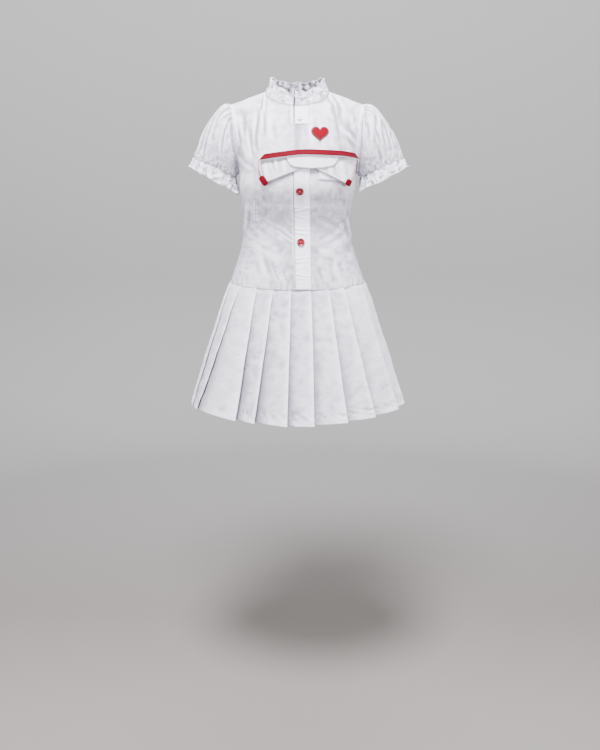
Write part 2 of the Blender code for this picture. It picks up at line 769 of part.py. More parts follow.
def button(name, trees, spot, radius, thickness, lift, finish, collection):
    """A turned button with a raised rim, lying on the cloth."""
    profile = (
        (0.0, thickness * 0.55),
        (radius * 0.62, thickness * 0.60),
        (radius * 0.80, thickness),
        (radius * 0.93, thickness * 0.85),
        (radius, thickness * 0.45),
        (radius * 0.90, 0.0),
        (0.0, 0.0),
    )
    mesh = bpy.data.meshes.new(name)
    edges = [(index, index + 1) for index in range(len(profile) - 1)]
    mesh.from_pydata([(reach, 0.0, height) for reach, height in profile], edges, [])
    mesh.materials.append(finish)
    made = bpy.data.objects.new(name, mesh)
    turned = made.modifiers.new("Turned", "SCREW")
    turned.steps = BUTTON_STEPS
    turned.render_steps = BUTTON_STEPS
    turned.use_merge_vertices = True
    turned.merge_threshold = 0.00001
    base, normal = on_front(trees, spot[0], spot[1], lift)
    made.location = base
    made.rotation_mode = "QUATERNION"
    made.rotation_quaternion = normal.to_track_quat("Z", "Y")
    collection.objects.link(made)
    return made


def heart(trees, finish, collection):
    centre, outline = heart_places()
    lift = TRIM_LIFT + TRIM_CLOTH
    vertices = [on_front(trees, centre[0], centre[1], lift)[0]]
    for ring in range(1, HEART_RINGS + 1):
        for place in centre + outline * ring / HEART_RINGS:
            vertices.append(on_front(trees, place[0], place[1], lift)[0])
    faces = []
    for index in range(HEART_POINTS):
        after = (index + 1) % HEART_POINTS
        faces.append((0, 1 + after, 1 + index))
        for ring in range(HEART_RINGS - 1):
            here = 1 + ring * HEART_POINTS
            beyond = here + HEART_POINTS
            faces.append((here + index, here + after, beyond + after, beyond + index))
    return thicken(add_object("heart_patch", vertices, faces, finish, collection), TRIM_CLOTH)


def clear_scene():
    for old in list(bpy.data.objects):
        bpy.data.objects.remove(old, do_unlink=True)


def make_bodice(white, collection):
    """Both panels, and the grids that the collar and the sleeves are sewn to."""
    half, low, high = FRONT_COUNTS
    front = bodice_front_grid(front_turns(half), low, high)
    slit_heights = front[:, half, 2]
    foot_row = int(np.argmin(np.abs(slit_heights - SLIT_FOOT)))
    slit_cloth("bodice_front", front, CLOTH, white, collection, half, foot_row)
    back = bodice_back_grid(*BACK_COUNTS)
    cloth("bodice_back", back, CLOTH, white, collection)
    return front, back


def make_collar(front, back, white, collection):
    middle = front.shape[1] // 2 - 1
    neck = np.abs(front_turns(middle)) <= NECK_SHARE + 1e-6
    top = front[-1]
    left_part = [point for index, point in enumerate(top) if index > middle and neck[index]]
    right_part = [point for index, point in enumerate(top) if index < middle and neck[index]]
    back_top = [point for point in back[-1] if abs(point[0]) < NECK_HALF - CLOTH]
    slit = top[middle]
    start = slit + np.array((SLIT_HALF, 0, 0))
    end = slit - np.array((SLIT_HALF, 0, 0))
    neckline = np.array([start, *left_part, *back_top, *right_part, end])
    cloth("collar", collar_grid(neckline), CLOTH, white, collection)


def make_sleeves(front, back, white, collection):
    _, low, _ = FRONT_COUNTS
    _, back_low, _ = BACK_COUNTS
    sleeve = sleeve_grid(front[low:, -1], back[back_low:, 0])
    frill = frill_grid()
    for name, grid in (("sleeve", sleeve), ("sleeve_frill", frill)):
        cloth(name + "_left", grid, CLOTH, white, collection, wrap=True)
        cloth(name + "_right", mirrored(grid), CLOTH, white, collection, wrap=True)


def make_skirt(white, collection):
    half = PLEATS // 2
    skirt_panel("skirt_front", skirt_grid(0, half), white, collection)
    skirt_panel("skirt_back", skirt_grid(half, PLEATS), white, collection)


def make_placket(trees, heights, white, red, collection):
    top = TRIM_LIFT + TRIM_CLOTH
    cloth("placket_band", laid(trees, placket_band_places(heights), top), TRIM_CLOTH, white, collection)
    tab = laid(trees, box_places(TAB, 4, 5), top + SEAM_GAP)
    cloth("neck_placket_tab", tab, TRIM_CLOTH, white, collection)
    above = top + 2 * SEAM_GAP
    for name, spot in (("button_upper", BUTTON_UPPER), ("button_lower", BUTTON_LOWER)):
        button(name, trees, spot, BUTTON_RADIUS, BUTTON_THICKNESS, above, red, collection)
    button(
        "neck_button",
        trees,
        NECK_BUTTON,
        NECK_BUTTON_RADIUS,
        NECK_BUTTON_THICKNESS,
        above + 2 * SEAM_GAP,
        white,
        collection,
    )


def make_flap(trees, white, red, collection):
    wing_top = TRIM_LIFT + TRIM_CLOTH
    for side, name in ((-1, "right"), (1, "left")):
        wing = laid(trees, wing_places(side), wing_lift(side))
        cloth("flap_wing_" + name, wing, TRIM_CLOTH, white, collection)
        tip_lift = wing_top + WING_STAND + WING_FLARE[side] + TRIM_CLOTH + SEAM_GAP
        tip = laid(trees, tip_places(side), tip_lift)
        cloth("flap_tip_" + name, tip, TRIM_CLOTH, red, collection)
    up = np.linspace(0, 1, 4)[:, None]
    tab_lift = wing_top + TRIM_CLOTH + TRIM_LIFT + WING_STAND * (1 - up) + FLAP_EASE
    cloth("flap_tab", laid(trees, flap_tab_places(), tab_lift), TRIM_CLOTH, white, collection)
    band_lift = wing_top + 2 * (TRIM_CLOTH + TRIM_LIFT) + FLAP_EASE + SEAM_GAP
    first, last = FLAP_LINE[0].x, FLAP_LINE[-1].x
    band = strip_places(FLAP_BAND_WIDTH, FLAP_BAND_DROP, first - BAND_OVERHANG, last + BAND_OVERHANG)
    ribbon = strip_places(RIBBON_WIDTH, 0.0, first, last)
    band_grid = laid(trees, band, band_lift + flap_stand(band))
    cloth("flap_band", band_grid, TRIM_CLOTH, white, collection)
    ribbon_lift = band_lift + TRIM_CLOTH + 3 * SEAM_GAP + flap_stand(ribbon)
    cloth("flap_ribbon", laid(trees, ribbon, ribbon_lift), TRIM_CLOTH, red, collection)


def make_pocket(trees, white, collection):
    places = box_places(WELT, 5, 2, WELT["slope"])
    lift = TRIM_LIFT + TRIM_CLOTH + SEAM_GAP
    cloth("pocket_welt", laid(trees, places, lift), TRIM_CLOTH, white, collection)


def main():
    clear_scene()
    collection = bpy.data.collections.new("nurse_dress")
    bpy.context.scene.collection.children.link(collection)
    white = material("white_cotton", WHITE, 0.85)
    red = material("red_ribbon", RED, 0.55)
    front, back = make_bodice(white, collection)
    make_collar(front, back, white, collection)
    make_sleeves(front, back, white, collection)
    make_skirt(white, collection)
    half, low, high = SMOOTH_COUNTS
    smooth = bodice_front_grid(np.linspace(-1, 1, 2 * half + 1), low, high)
    trees = (facing(front), facing(smooth))
    heights = front[:, front.shape[1] // 2 + 1, 2]
    make_placket(trees, heights, white, red, collection)
    make_flap(trees, white, red, collection)
    make_pocket(trees, white, collection)
    heart(trees, red, collection)


main()
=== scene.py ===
"""Looks of a white nurse dress, worn and hollow: creased cotton, ruffles, knife pleats and red trim.

Metres, +Z up, the front towards -Y and the wearer's left towards +X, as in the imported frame.
"""

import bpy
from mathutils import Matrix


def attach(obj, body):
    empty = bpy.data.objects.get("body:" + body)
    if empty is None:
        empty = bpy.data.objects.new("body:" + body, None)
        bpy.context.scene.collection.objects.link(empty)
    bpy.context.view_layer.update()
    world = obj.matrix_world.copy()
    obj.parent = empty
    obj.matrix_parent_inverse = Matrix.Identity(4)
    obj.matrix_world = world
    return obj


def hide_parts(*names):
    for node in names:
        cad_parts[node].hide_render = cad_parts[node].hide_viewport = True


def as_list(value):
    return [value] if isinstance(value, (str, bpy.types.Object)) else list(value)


bl_info = {
    "name": "Nurse dress",
    "version": (1, 0, 0),
    "blender": (4, 5, 0),
    "location": "3D View > Sidebar > Nurse dress",
    "description": "Makes the cloth, trim and stage of a white nurse dress on its packed frame",
    "category": "Object",
}

from collections import namedtuple
from functools import partial
from math import cos, pi, radians, sin
from operator import mul

import bmesh
import bpy
import numpy as np
from bpy.props import FloatProperty, FloatVectorProperty, IntProperty, PointerProperty
from mathutils import Vector, noise
from mathutils.bvhtree import BVHTree

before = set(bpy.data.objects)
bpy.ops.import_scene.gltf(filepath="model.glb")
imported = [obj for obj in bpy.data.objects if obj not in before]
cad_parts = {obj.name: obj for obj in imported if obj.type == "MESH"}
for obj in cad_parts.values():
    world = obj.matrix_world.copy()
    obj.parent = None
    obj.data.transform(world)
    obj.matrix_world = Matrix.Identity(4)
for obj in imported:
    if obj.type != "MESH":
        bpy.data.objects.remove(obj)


def table(kind, *rows):
    """Rows of numbers as named tuples of one kind."""
    return tuple(kind(*row) for row in rows)


# Cloth and seams
CLOTH = 0.0012
SKIRT_CLOTH = 0.0010
TRIM_CLOTH = 0.0010
SEAM_GAP = 0.0003
PANEL_HALF_GAP = 0.0003
SHOULDER_HALF_GAP = 0.0003
WAIST_GAP = 0.0006
BODICE = ["dress_bodice_front", "dress_bodice_back"]

# Relief of the cloth's own surface
CRINKLE_BUMP = 0.0015
WEAVE_BUMP = 0.00009
RIB_PITCH = 0.0011

# Torso: the sections from the waist seam up to the underarm
SQUARENESS = 2.4
CHEST = -0.182
SEAM_SIDE = -0.4395
SEAM_DIP = 0.0095
HIP_HALF = 0.1660
Section = namedtuple("Section", "height half_width front back")
TORSO = table(
    Section,
    (-0.449, 0.1665, 0.1185, 0.1125), (-0.42, 0.156, 0.115, 0.105), (-0.385, 0.144, 0.11, 0.093),
    (-0.345, 0.133, 0.103, 0.084), (-0.3, 0.13, 0.099, 0.08), (-0.255, 0.1325, 0.112, 0.087),
    (-0.21, 0.1365, 0.127, 0.097),
    (CHEST, 0.1365, 0.1255, 0.0985),
)

# Neckline and shoulders
NECK_HALF = 0.0742
NECK_SHARE = 0.5
SHOULDER_TIP = (0.1560, 0.0, -0.0280)
NECK_DEPTH = {-1: 0.062, 1: 0.060}
NECK_DROP = {-1: 0.038, 1: 0.010}

# Columns of cloth from the chest line up to the neckline, shoulder seam and armhole
Column = namedtuple("Column", "reach foot_side foot_out foot_up head_side head_out head_up")
COLUMNS = {
    -1: table(
        Column,
        (0.0, 0.0, -0.002, 0.045, 0.0, 0.015, -0.027), (0.5, -0.002, 0.003, 0.05, 0.0, 0.055, -0.006),
        (0.75, -0.002, 0.02, 0.05, 0.0, 0.06, -0.004), (1.0, 0.006, 0.068, 0.02, -0.018, 0.066, -0.024),
    ),
    1: table(
        Column,
        (0.0, 0.0, 0.004, 0.055, 0.0, 0.018, -0.03), (0.5, -0.002, 0.006, 0.055, 0.0, 0.05, -0.006),
        (0.75, -0.002, 0.02, 0.05, 0.0, 0.055, -0.004), (1.0, 0.005, 0.064, 0.02, -0.016, 0.062, -0.024),
    ),
}

# The bodice's largest folds, as soft ridges seen from the front
Fold = namedtuple("Fold", "x z x_end z_end width height")
LARGE_FOLDS = {
    -1: table(
        Fold,
        (-0.139, -0.066, -0.11, -0.15, 0.012, 0.0035), (0.09, -0.03, 0.128, -0.08, 0.011, 0.0025),
        (-0.098, -0.29, -0.038, -0.328, 0.014, 0.0008), (-0.105, -0.345, -0.045, -0.378, 0.013, 0.0015),
        (0.112, -0.335, 0.06, -0.365, 0.013, 0.0014),
    ),
    1: table(
        Fold,
        (-0.13, -0.07, -0.1, -0.15, 0.012, 0.003), (0.13, -0.07, 0.104, -0.145, 0.012, 0.003),
        (-0.085, -0.29, -0.015, -0.305, 0.012, 0.0025), (0.095, -0.315, 0.02, -0.33, 0.013, 0.0025),
    ),
}

# Creases, each a ridge from one end to the other, or a gully where its height is less than nothing
Crease = namedtuple("Crease", "x z x_end z_end width height bow")
FRONT_CREASES = table(
    Crease,
    # below the collar and at the armholes
    (-0.0895, -0.052, -0.0922, -0.132, 0.0036, -0.0016, 0.002),
    (-0.0818, -0.046, -0.0808, -0.098, 0.004, 0.0018, -0.001),
    (-0.074, -0.012, -0.0755, -0.052, 0.0032, 0.0012, 0.001),
    (-0.1282, -0.064, -0.1214, -0.112, 0.0046, 0.0022, 0.002), (-0.139, -0.082, -0.1345, -0.128, 0.004, 0.0018, 0.0),
    (-0.1147, -0.086, -0.1085, -0.134, 0.004, 0.0018, 0.001),
    (-0.0988, -0.108, -0.0935, -0.142, 0.0036, 0.0012, 0.001), (-0.063, -0.066, -0.056, -0.12, 0.006, 0.0008, 0.002),
    (0.073, -0.01, 0.09, -0.062, 0.004, 0.0018, -0.003), (0.084, -0.014, 0.101, -0.05, 0.0038, -0.0012, -0.002),
    (0.1156, -0.098, 0.129, -0.116, 0.0036, 0.0014, 0.001), (0.096, -0.084, 0.13, -0.114, 0.0056, 0.001, 0.002),
    (0.122, -0.06, 0.133, -0.1, 0.0044, 0.0014, 0.002), (0.03, -0.062, 0.035, -0.126, 0.006, 0.0007, 0.002),
    # the waist, towards the lower button
    (-0.085, -0.281, -0.0485, -0.304, 0.002, 0.0004, 0.001),
    (-0.0485, -0.303, -0.0084, -0.3325, 0.0018, 0.0013, -0.002),
    (-0.045, -0.307, -0.011, -0.335, 0.0013, -0.0009, -0.001),
    (-0.046, -0.316, -0.011, -0.3395, 0.0018, 0.0011, 0.001), (-0.056, -0.288, -0.03, -0.306, 0.002, -0.0005, 0.001),
    (-0.04, -0.296, -0.018, -0.317, 0.0016, 0.0006, 0.001), (-0.108, -0.3, -0.056, -0.343, 0.006, 0.0006, 0.004),
    (-0.113, -0.322, -0.036, -0.36, 0.006, 0.0005, 0.003), (-0.058, -0.386, -0.0435, -0.424, 0.0022, -0.0012, 0.001),
    (-0.033, -0.404, -0.0208, -0.431, 0.002, -0.0011, 0.001), (-0.086, -0.37, -0.07, -0.422, 0.006, 0.001, 0.003),
    (0.04, -0.292, 0.096, -0.318, 0.006, 0.0004, -0.003), (0.112, -0.3, 0.056, -0.342, 0.006, 0.0005, -0.003),
    (0.042, -0.35, 0.092, -0.372, 0.006, 0.0004, 0.003), (0.048, -0.395, 0.06, -0.429, 0.004, -0.0007, 0.001),
    (0.086, -0.382, 0.098, -0.427, 0.006, 0.0009, 0.002), (0.118, -0.285, 0.129, -0.33, 0.0046, 0.0012, 0.002),
    (-0.119, -0.262, -0.127, -0.318, 0.0046, 0.0012, -0.002),
    # drag lines below the armhole
    (-0.136, -0.15, -0.102, -0.182, 0.005, 0.0008, 0.003),
    # the cloth dips beside the flap's outer edges
    (-0.0892, -0.159, -0.0858, -0.196, 0.0017, -0.0008, 0.0), (0.1362, -0.159, 0.122, -0.2, 0.0017, -0.0008, 0.0),
    # the folded edge beside the neck slit, and the gap beside the front band
    (-0.0124, -0.04, -0.0126, -0.08, 0.002, 0.0011, 0.0), (-0.0098, -0.174, -0.006, -0.444, 0.0013, -0.0009, 0.0),
)
BACK_CREASES = table(
    Crease,
    (-0.118, -0.058, -0.104, -0.128, 0.005, 0.0018, 0.002), (0.116, -0.056, 0.106, -0.122, 0.005, 0.0018, -0.002),
    (-0.085, -0.096, -0.076, -0.152, 0.006, 0.001, 0.002), (0.088, -0.108, 0.074, -0.16, 0.006, 0.0011, -0.002),
    (-0.03, -0.052, -0.024, -0.11, 0.007, 0.0008, 0.002), (0.026, -0.06, 0.02, -0.126, 0.007, 0.0008, 0.001),
    (-0.094, -0.268, -0.012, -0.296, 0.005, 0.0018, 0.005), (0.088, -0.276, 0.016, -0.306, 0.005, 0.0017, -0.004),
    (-0.07, -0.296, 0.0, -0.318, 0.0046, 0.0014, 0.003), (0.096, -0.306, 0.03, -0.333, 0.005, 0.0014, -0.003),
    (-0.098, -0.322, -0.036, -0.352, 0.006, 0.0011, 0.003), (-0.06, -0.376, -0.048, -0.418, 0.004, -0.001, 0.001),
    (0.052, -0.388, 0.042, -0.426, 0.0036, -0.001, 0.001), (0.084, -0.36, 0.1, -0.412, 0.006, 0.001, 0.002),
)

# Darts: the line of each by height, on both sides of the panel's middle
Stop = namedtuple("Stop", "z x")
DARTS = {
    -1: table(Stop, (-0.445, 0.1340), (-0.405, 0.1240), (-0.350, 0.1080), (-0.303, 0.0970), (-0.225, 0.0950)),
    1: table(Stop, (-0.445, 0.0780), (-0.380, 0.0730), (-0.320, 0.0700), (-0.250, 0.0700)),
}
DART_DEPTH = 0.0007
DART_WIDTH = 0.0012

# How far round a point its painted crease shading is measured, in passes over the grid; the height that counts; and
# the height that the body's own curve gives
Depth = namedtuple("Depth", "reach height curve")
PANEL_DEPTH = Depth(14, 0.00042, 0.00022)
SKIRT_DEPTH = Depth(14, 0.00110, 0.00010)
SLEEVE_DEPTH = Depth(20, 0.00060, 0.00015)
RUFFLE_DEPTH = Depth(30, 0.00130, 0.00020)

# Fine grids: columns, and rows up to the chest line and above it
PANEL_COUNTS = {-1: (150, 112, 84), 1: (112, 84, 64)}

# Neck slit
SLIT_TURN = -0.032
SLIT_HALF = 0.0023
SLIT_EASE = 0.007
SLIT_FOOT = -0.078

# Collar
COLLAR_TOP_HALF = 0.0575
COLLAR_TOP_DEPTH = {-1: 0.0500, 1: 0.0480}
COLLAR_TOP_SIDE = 0.034
COLLAR_TOP_DROP = {-1: 0.0415, 1: 0.007}
COLLAR_COLUMNS = 360
COLLAR_ROWS = 30
Ruffle = namedtuple("Ruffle", "share depth lift")
COLLAR_RUFFLE = table(
    Ruffle,
    (0.0, 0.0, 0.0), (0.28, 0.0012, 0.0), (0.46, 0.0006, 0.0), (0.74, 0.0024, 0.0006), (1.0, 0.0034, 0.0016),
)

# Sleeves, as the wearer's left one: the elastic ring and the frill's hem ring are tilted ovals
Oval = namedtuple("Oval", "x z half_x half_z half_depth")
ELASTIC = Oval(0.1980, -0.1695, 0.0496, 0.0225, 0.0500)
FRILL_HEM = Oval(0.2010, -0.2005, 0.0575, 0.0317, 0.0585)
SLEEVE_MIDDLE = (0.178, 0.0, -0.110)
SLEEVE_FOOT_EASE = 0.0016
SLEEVE_COLUMNS = 230
SLEEVE_ROWS = 72
CAP_FOLDS = 9
CAP_FOLD_HEIGHT = 0.0030
FRILL_GAP = 0.0004
FRILL_RISE = {"left": 0.0060, "right": 0.0}
# Painted light and shade in the cotton's colour: light along the seams, shade beside the armhole seam, shadow along
# free lower edges and below the flap, light by the cuff, and the sleeves painted darker all over
SEAM_LIGHT = 0.9
SEAM_SHADE = 0.45
EDGE_SHADE = 1.5
EDGE_WIDTH = 0.0014
FLAP_SHADE = 0.75
CUFF_LIGHT = 0.22
SLEEVE_PAINTED_SHADE = 0.20
CUFF_PULL = {"left": 0.0014, "right": -0.0034}
FRILL_COLUMNS = 360
FRILL_ROWS = 22
FRILL_SEED = {"left": 5.0, "right": 8.0}
FRILL_RUFFLE = table(
    Ruffle,
    (0.0, 0.001, 0.0), (0.5, 0.0022, 0.0), (1.0, 0.0034, 0.0015),
)

# Folds of a sleeve: angle 0 lies at the body and a quarter turn at the front; share 0 at the
# armhole and 1 at the elastic
Pucker = namedtuple("Pucker", "angle share angle_end share_end width height")
PUCKER_FADE = 0.006
SLEEVE_PUCKERS = {
    "right": table(
        Pucker,
        (2.72, 0.05, 2.56, 0.35, 0.0028, -0.0044), (2.94, 0.02, 2.68, 0.32, 0.0042, 0.0036),
        (2.52, 0.05, 2.38, 0.36, 0.004, 0.0026), (2.34, 0.03, 2.18, 0.2, 0.003, 0.0026),
        (2.2, 0.04, 2.1, 0.16, 0.0026, -0.0022), (2.76, 0.42, 2.4, 0.64, 0.0044, -0.0028),
        (2.4, 0.64, 2.09, 0.97, 0.0042, -0.0028), (3.05, 0.5, 2.55, 0.95, 0.0055, 0.0026),
        (2.52, 0.46, 2.04, 0.76, 0.006, 0.002), (2.06, 0.15, 1.8, 0.32, 0.0034, -0.0024),
        (1.8, 0.32, 1.46, 0.6, 0.0036, -0.0024), (1.98, 0.2, 1.52, 0.42, 0.003, 0.0018),
        (1.94, 0.1, 1.6, 0.13, 0.003, -0.0024), (1.6, 0.13, 1.15, 0.17, 0.0032, -0.0024),
        (2.12, 0.06, 1.75, 0.04, 0.0026, 0.0024), (1.75, 0.04, 1.28, 0.04, 0.0026, 0.0024),
        (1.28, 0.04, 0.84, 0.06, 0.0026, 0.0022), (3.3, 0.02, 3.26, 0.42, 0.0038, -0.0026),
        (3.6, 0.02, 3.5, 0.44, 0.004, 0.0028), (3.92, 0.02, 3.98, 0.36, 0.0032, -0.0022),
        (4.34, 0.02, 4.46, 0.44, 0.0036, 0.002), (4.9, 0.03, 5.05, 0.34, 0.0034, -0.0018),
        (3.42, 0.5, 3.2, 0.96, 0.004, -0.002), (4.02, 0.46, 3.88, 0.94, 0.0044, 0.0022),
        (4.62, 0.4, 4.74, 0.92, 0.004, -0.0016),
    ),
    "left": table(
        Pucker,
        (2.6, 0.06, 2.02, 0.09, 0.0024, 0.0026), (2.02, 0.09, 1.62, 0.13, 0.0024, 0.0026),
        (1.62, 0.13, 1.23, 0.22, 0.0024, 0.0022), (2.12, 0.18, 1.57, 0.31, 0.0036, -0.002),
        (2.0, 0.3, 1.6, 0.45, 0.004, 0.0016), (2.5, 0.32, 2.04, 0.41, 0.0026, -0.0018),
        (2.04, 0.41, 1.88, 0.58, 0.0028, -0.0018), (2.66, 0.38, 2.15, 0.49, 0.0034, 0.002),
        (2.15, 0.49, 1.88, 0.66, 0.0036, 0.002), (2.6, 0.51, 2.38, 0.64, 0.0034, -0.002),
        (2.38, 0.64, 2.2, 0.8, 0.0034, -0.0018), (2.95, 0.62, 2.5, 0.7, 0.002, -0.0018),
        (3.0, 0.55, 2.9, 0.94, 0.005, 0.0022), (2.66, 0.02, 2.58, 0.27, 0.0032, -0.002),
        (2.9, 0.02, 2.84, 0.3, 0.0038, 0.0028), (3.16, 0.02, 3.1, 0.38, 0.0034, -0.0024),
        (3.56, 0.02, 3.46, 0.4, 0.0042, 0.0026), (3.96, 0.02, 4.04, 0.46, 0.0036, -0.002),
        (4.36, 0.02, 4.48, 0.36, 0.0038, 0.002), (4.92, 0.03, 5.02, 0.4, 0.0036, -0.0016),
        (1.66, 0.66, 1.52, 0.92, 0.004, -0.0018), (3.38, 0.5, 3.3, 0.96, 0.0042, 0.002),
        (4.12, 0.46, 3.98, 0.94, 0.0044, -0.002), (4.7, 0.52, 4.84, 0.94, 0.004, 0.0016),
    ),
}

# Skirt: rings from the waist seam down to the hem, and the folds of its knife pleats
HEM = -0.7565
HEM_RISE = 0.0135
HEM_CURVE = 1.2
HEM_HALF = 0.2700
PLEATS = 22
LINE_POINTS = 241
UNDERLAY = 0.020
LAYER = 0.0017
SKIRT_ROWS = 104
Ring = namedtuple("Ring", "fall half_width front back squareness fold_depth")
SKIRT = table(
    Ring,
    (0.0, 0.166, 0.118, 0.1125, 2.4, 0.0036), (0.15, 0.184, 0.129, 0.124, 2.3, 0.007),
    (0.32, 0.201, 0.142, 0.138, 2.15, 0.01), (0.55, 0.226, 0.159, 0.156, 2.0, 0.015),
    (0.78, 0.248, 0.175, 0.173, 1.9, 0.0195), (1.0, 0.27, 0.19, 0.189, 1.85, 0.023),
)

# A pleat's face, from its hidden start to its fold: the share of the way, and of the fold's depth
Face = namedtuple("Face", "share depth")
PLEAT_FACE = table(Face, (0.0, 1.0), (0.40, 0.60), (0.72, 0.26), (1.0, 0.0))
# Painted light and shade in the skirt's colour: a highlight at each fold's edge, shadow just past it, a wider dusk
# beyond, the skirt darker all over, and light along the hem
FOLD_LIGHT = 0.90
FOLD_SHADE = 1.25
FOLD_DUSK = 0.16
SKIRT_PAINTED_SHADE = 0.16
HEM_LIGHT = 0.22
FACE_STEPS = 12
FOLD_STEPS = 5
UNDER_STEPS = 5
INNER_STEPS = 4

# Where a pleat's fold lies off its even place, in pleats, at the waist and at the hem, and the share
# of the fold's depth that its face starts at
Pleat = namedtuple("Pleat", "pleat waist hem deep")
PLEATS_LAID = table(
    Pleat,
    (0, 0.0, -0.1, 0.4), (1, -0.05, -0.52, 0.25), (2, 0.05, -0.92, 0.25), (3, 0.21, 0.17, 0.34),
    (4, 0.15, -0.09, 0.85), (5, 0.14, 0.12, 0.9), (6, 0.22, 0.09, 0.9), (7, 0.22, 0.34, 0.8), (8, 0.12, 0.53, 0.9),
    (9, 0.45, 0.9, 0.9), (10, 0.5, 0.8, 1.0), (11, 0.4, 0.55, 1.0), (12, 0.2, 0.25, 0.9), (13, 0.05, -0.1, 0.8),
    (14, -0.05, 0.12, 1.0), (15, 0.08, -0.15, 0.85), (16, -0.06, 0.1, 0.95), (17, 0.05, 0.22, 0.8),
    (18, -0.04, -0.12, 0.95), (19, 0.06, 0.15, 0.9), (20, -0.05, -0.08, 0.7), (21, 0.03, 0.05, 0.6),
    (22, 0.0, -0.1, 0.4),
)
SKIRT_CREASES = table(
    Crease,
    (-0.064, -0.498, -0.04, -0.518, 0.004, 0.001, 0.003), (-0.046, -0.512, -0.033, -0.536, 0.0034, -0.0008, -0.002),
    (0.064, -0.566, 0.09, -0.586, 0.006, 0.0006, 0.003),
)

# Trim on the front, by its place seen from the front
TRIM_LIFT = 0.0007
TRIM_BASE = TRIM_LIFT + TRIM_CLOTH
BAND = {"top": -0.1720, "foot": -0.4475, "left": -0.0078, "right": 0.0277}
BAND_DRIFT = 0.0042
BAND_PUCKERS = (
    -0.262, -0.270, -0.279, -0.292, -0.310, -0.318, -0.326, -0.363,
    -0.3785, -0.3865, -0.3945, -0.403, -0.4120, -0.4206,
)
TAB = {"left": -0.0062, "right": 0.0258, "top": -0.0405, "foot": -0.0808}
BUTTON_SIZE = (0.0090, 0.0030)
BUTTON_REACH = (-0.004, 0.0, 0.004)
BUTTON_UPPER = (0.0056, -0.2265)
BUTTON_LOWER = (0.0080, -0.3406)
NECK_BUTTON_SIZE = (0.0050, 0.0022)
NECK_BUTTON = (0.0062, -0.0690)
HEART = {"x": 0.0506, "z": -0.1010, "half": 0.0180}
HEART_POINTS = 96
HEART_RINGS = 14
HEART_RISE = 0.0012
SATIN_LINES = 220
SATIN_HALF = 0.0012
WELT = {"left": 0.0478, "right": 0.0990, "top": -0.1815, "foot": -0.2020, "slope": -0.0030}

# Chest flap; the wearer's right side is -1 and the left side is 1
Arc = namedtuple("Arc", "x z")
FLAP_LINE = table(
    Arc,
    (-0.08, -0.1552), (-0.0352, -0.1497), (0.0175, -0.145), (0.0521, -0.1452), (0.098, -0.1462), (0.132, -0.1482),
)
RIBBON_WIDTH = 0.0114
RIBBON_INSET = 0.0095
FLAP_BAND_WIDTH = 0.0126
FLAP_BAND_DROP = 0.0016
BAND_OVERHANG = 0.0015
BAND_LEAN = 0.0018
FLAP_CENTRE = 0.0245
FLAP_EASE = 0.0010
WING_OUTER = {-1: (-0.0865, -0.1570), 1: (0.1340, -0.1535)}
WING_CORNER = {-1: (-0.0710, -0.2098), 1: (0.1075, -0.2120)}
WING_FLARE = {-1: 0.0022, 1: 0.0070}
FLAP_TOP_FLARE = 0.35
WING_BULGE = 0.0048
WING_FLAT = {-1: 0.0106, 1: 0.0383}
WING_FOOT = -0.1784
WING_COLUMNS = 64
WING_ROWS = 44
WING_STAND = 0.0032
WING_CREASES = table(
    Crease,
    (-0.056, -0.158, -0.05, -0.176, 0.003, -0.001, 0.001), (-0.048, -0.157, -0.044, -0.182, 0.0034, 0.0011, 0.001),
    (-0.07, -0.162, -0.064, -0.196, 0.005, 0.0009, 0.002), (-0.03, -0.157, -0.026, -0.186, 0.0044, 0.0008, 0.001),
    (0.07, -0.166, 0.074, -0.196, 0.004, 0.0009, 0.001), (0.08, -0.17, 0.086, -0.192, 0.003, -0.0008, 0.001),
    (0.098, -0.16, 0.1, -0.204, 0.0056, 0.001, 0.002),
)
TAB_TOP = (-0.0268, 0.0950)
Foot = namedtuple("Foot", "share x z")
TAB_FOOT = table(
    Foot,
    (0.0, -0.0158, -0.1712), (0.1, -0.007, -0.176), (0.45, 0.028, -0.179), (0.74, 0.056, -0.1772),
    (0.91, 0.0735, -0.1735), (1.0, 0.0808, -0.168),
)
Tip = namedtuple("Tip", "x z half_long half_short lean")
TIPS = {-1: Tip(-0.0722, -0.2038, 0.0112, 0.0066, 0.66), 1: Tip(0.1066, -0.2072, 0.0070, 0.0060, -0.42)}
TIP_ROUND = 0.62

# Camera and stage
CAMERA_PLACE = (0.0061, -1.8900, -0.2616)
CAMERA_TILT = 12.3
CAMERA_SENSOR = 36.0
CAMERA_LENS = 36.96
FLOOR = -1.560
COVE_REACH = 3.0
COVE_HEIGHT = 3.4
COVE_CORNER = 0.9
LIGHT_TINT = (0.935, 0.93, 1.0)


# Settings


def a_length(name, description, default, low, high):
    return FloatProperty(
        name=name, description=description, default=default, min=low, max=high, precision=5, unit="LENGTH"
    )


def a_count(name, description, default, low, high):
    return IntProperty(name=name, description=description, default=default, min=low, max=high)


def a_colour(name, description, default):
    return FloatVectorProperty(
        name=name, description=description, subtype="COLOR", size=3, default=default, min=0, max=1
    )


def a_power(name, description, default):
    return FloatProperty(name=name, description=description, subtype="POWER", default=default, min=0)


class CottonSettings(bpy.types.PropertyGroup):
    """The white cotton."""

    colour: a_colour("Cotton", "Colour of the white cotton in the light", (0.95, 0.93, 1.0))
    # The cooler painted shade that the cotton's colour runs to in creases and in the crinkle's dips
    shade: a_colour("Cotton in folds", "Cooler colour of the cotton's creases and thick spots", (0.165, 0.16, 0.205))
    thread: a_length("Thread pitch", "Distance between two threads of the plain weave", 0.00045, 0.0002, 0.002)
    crinkle: a_length("Crinkle", "Height of the soft crinkle all over the cloth", 0.00070, 0, 0.003)
    crinkle_size: a_length("Crinkle size", "Distance between two crinkles", 0.016, 0.004, 0.1)


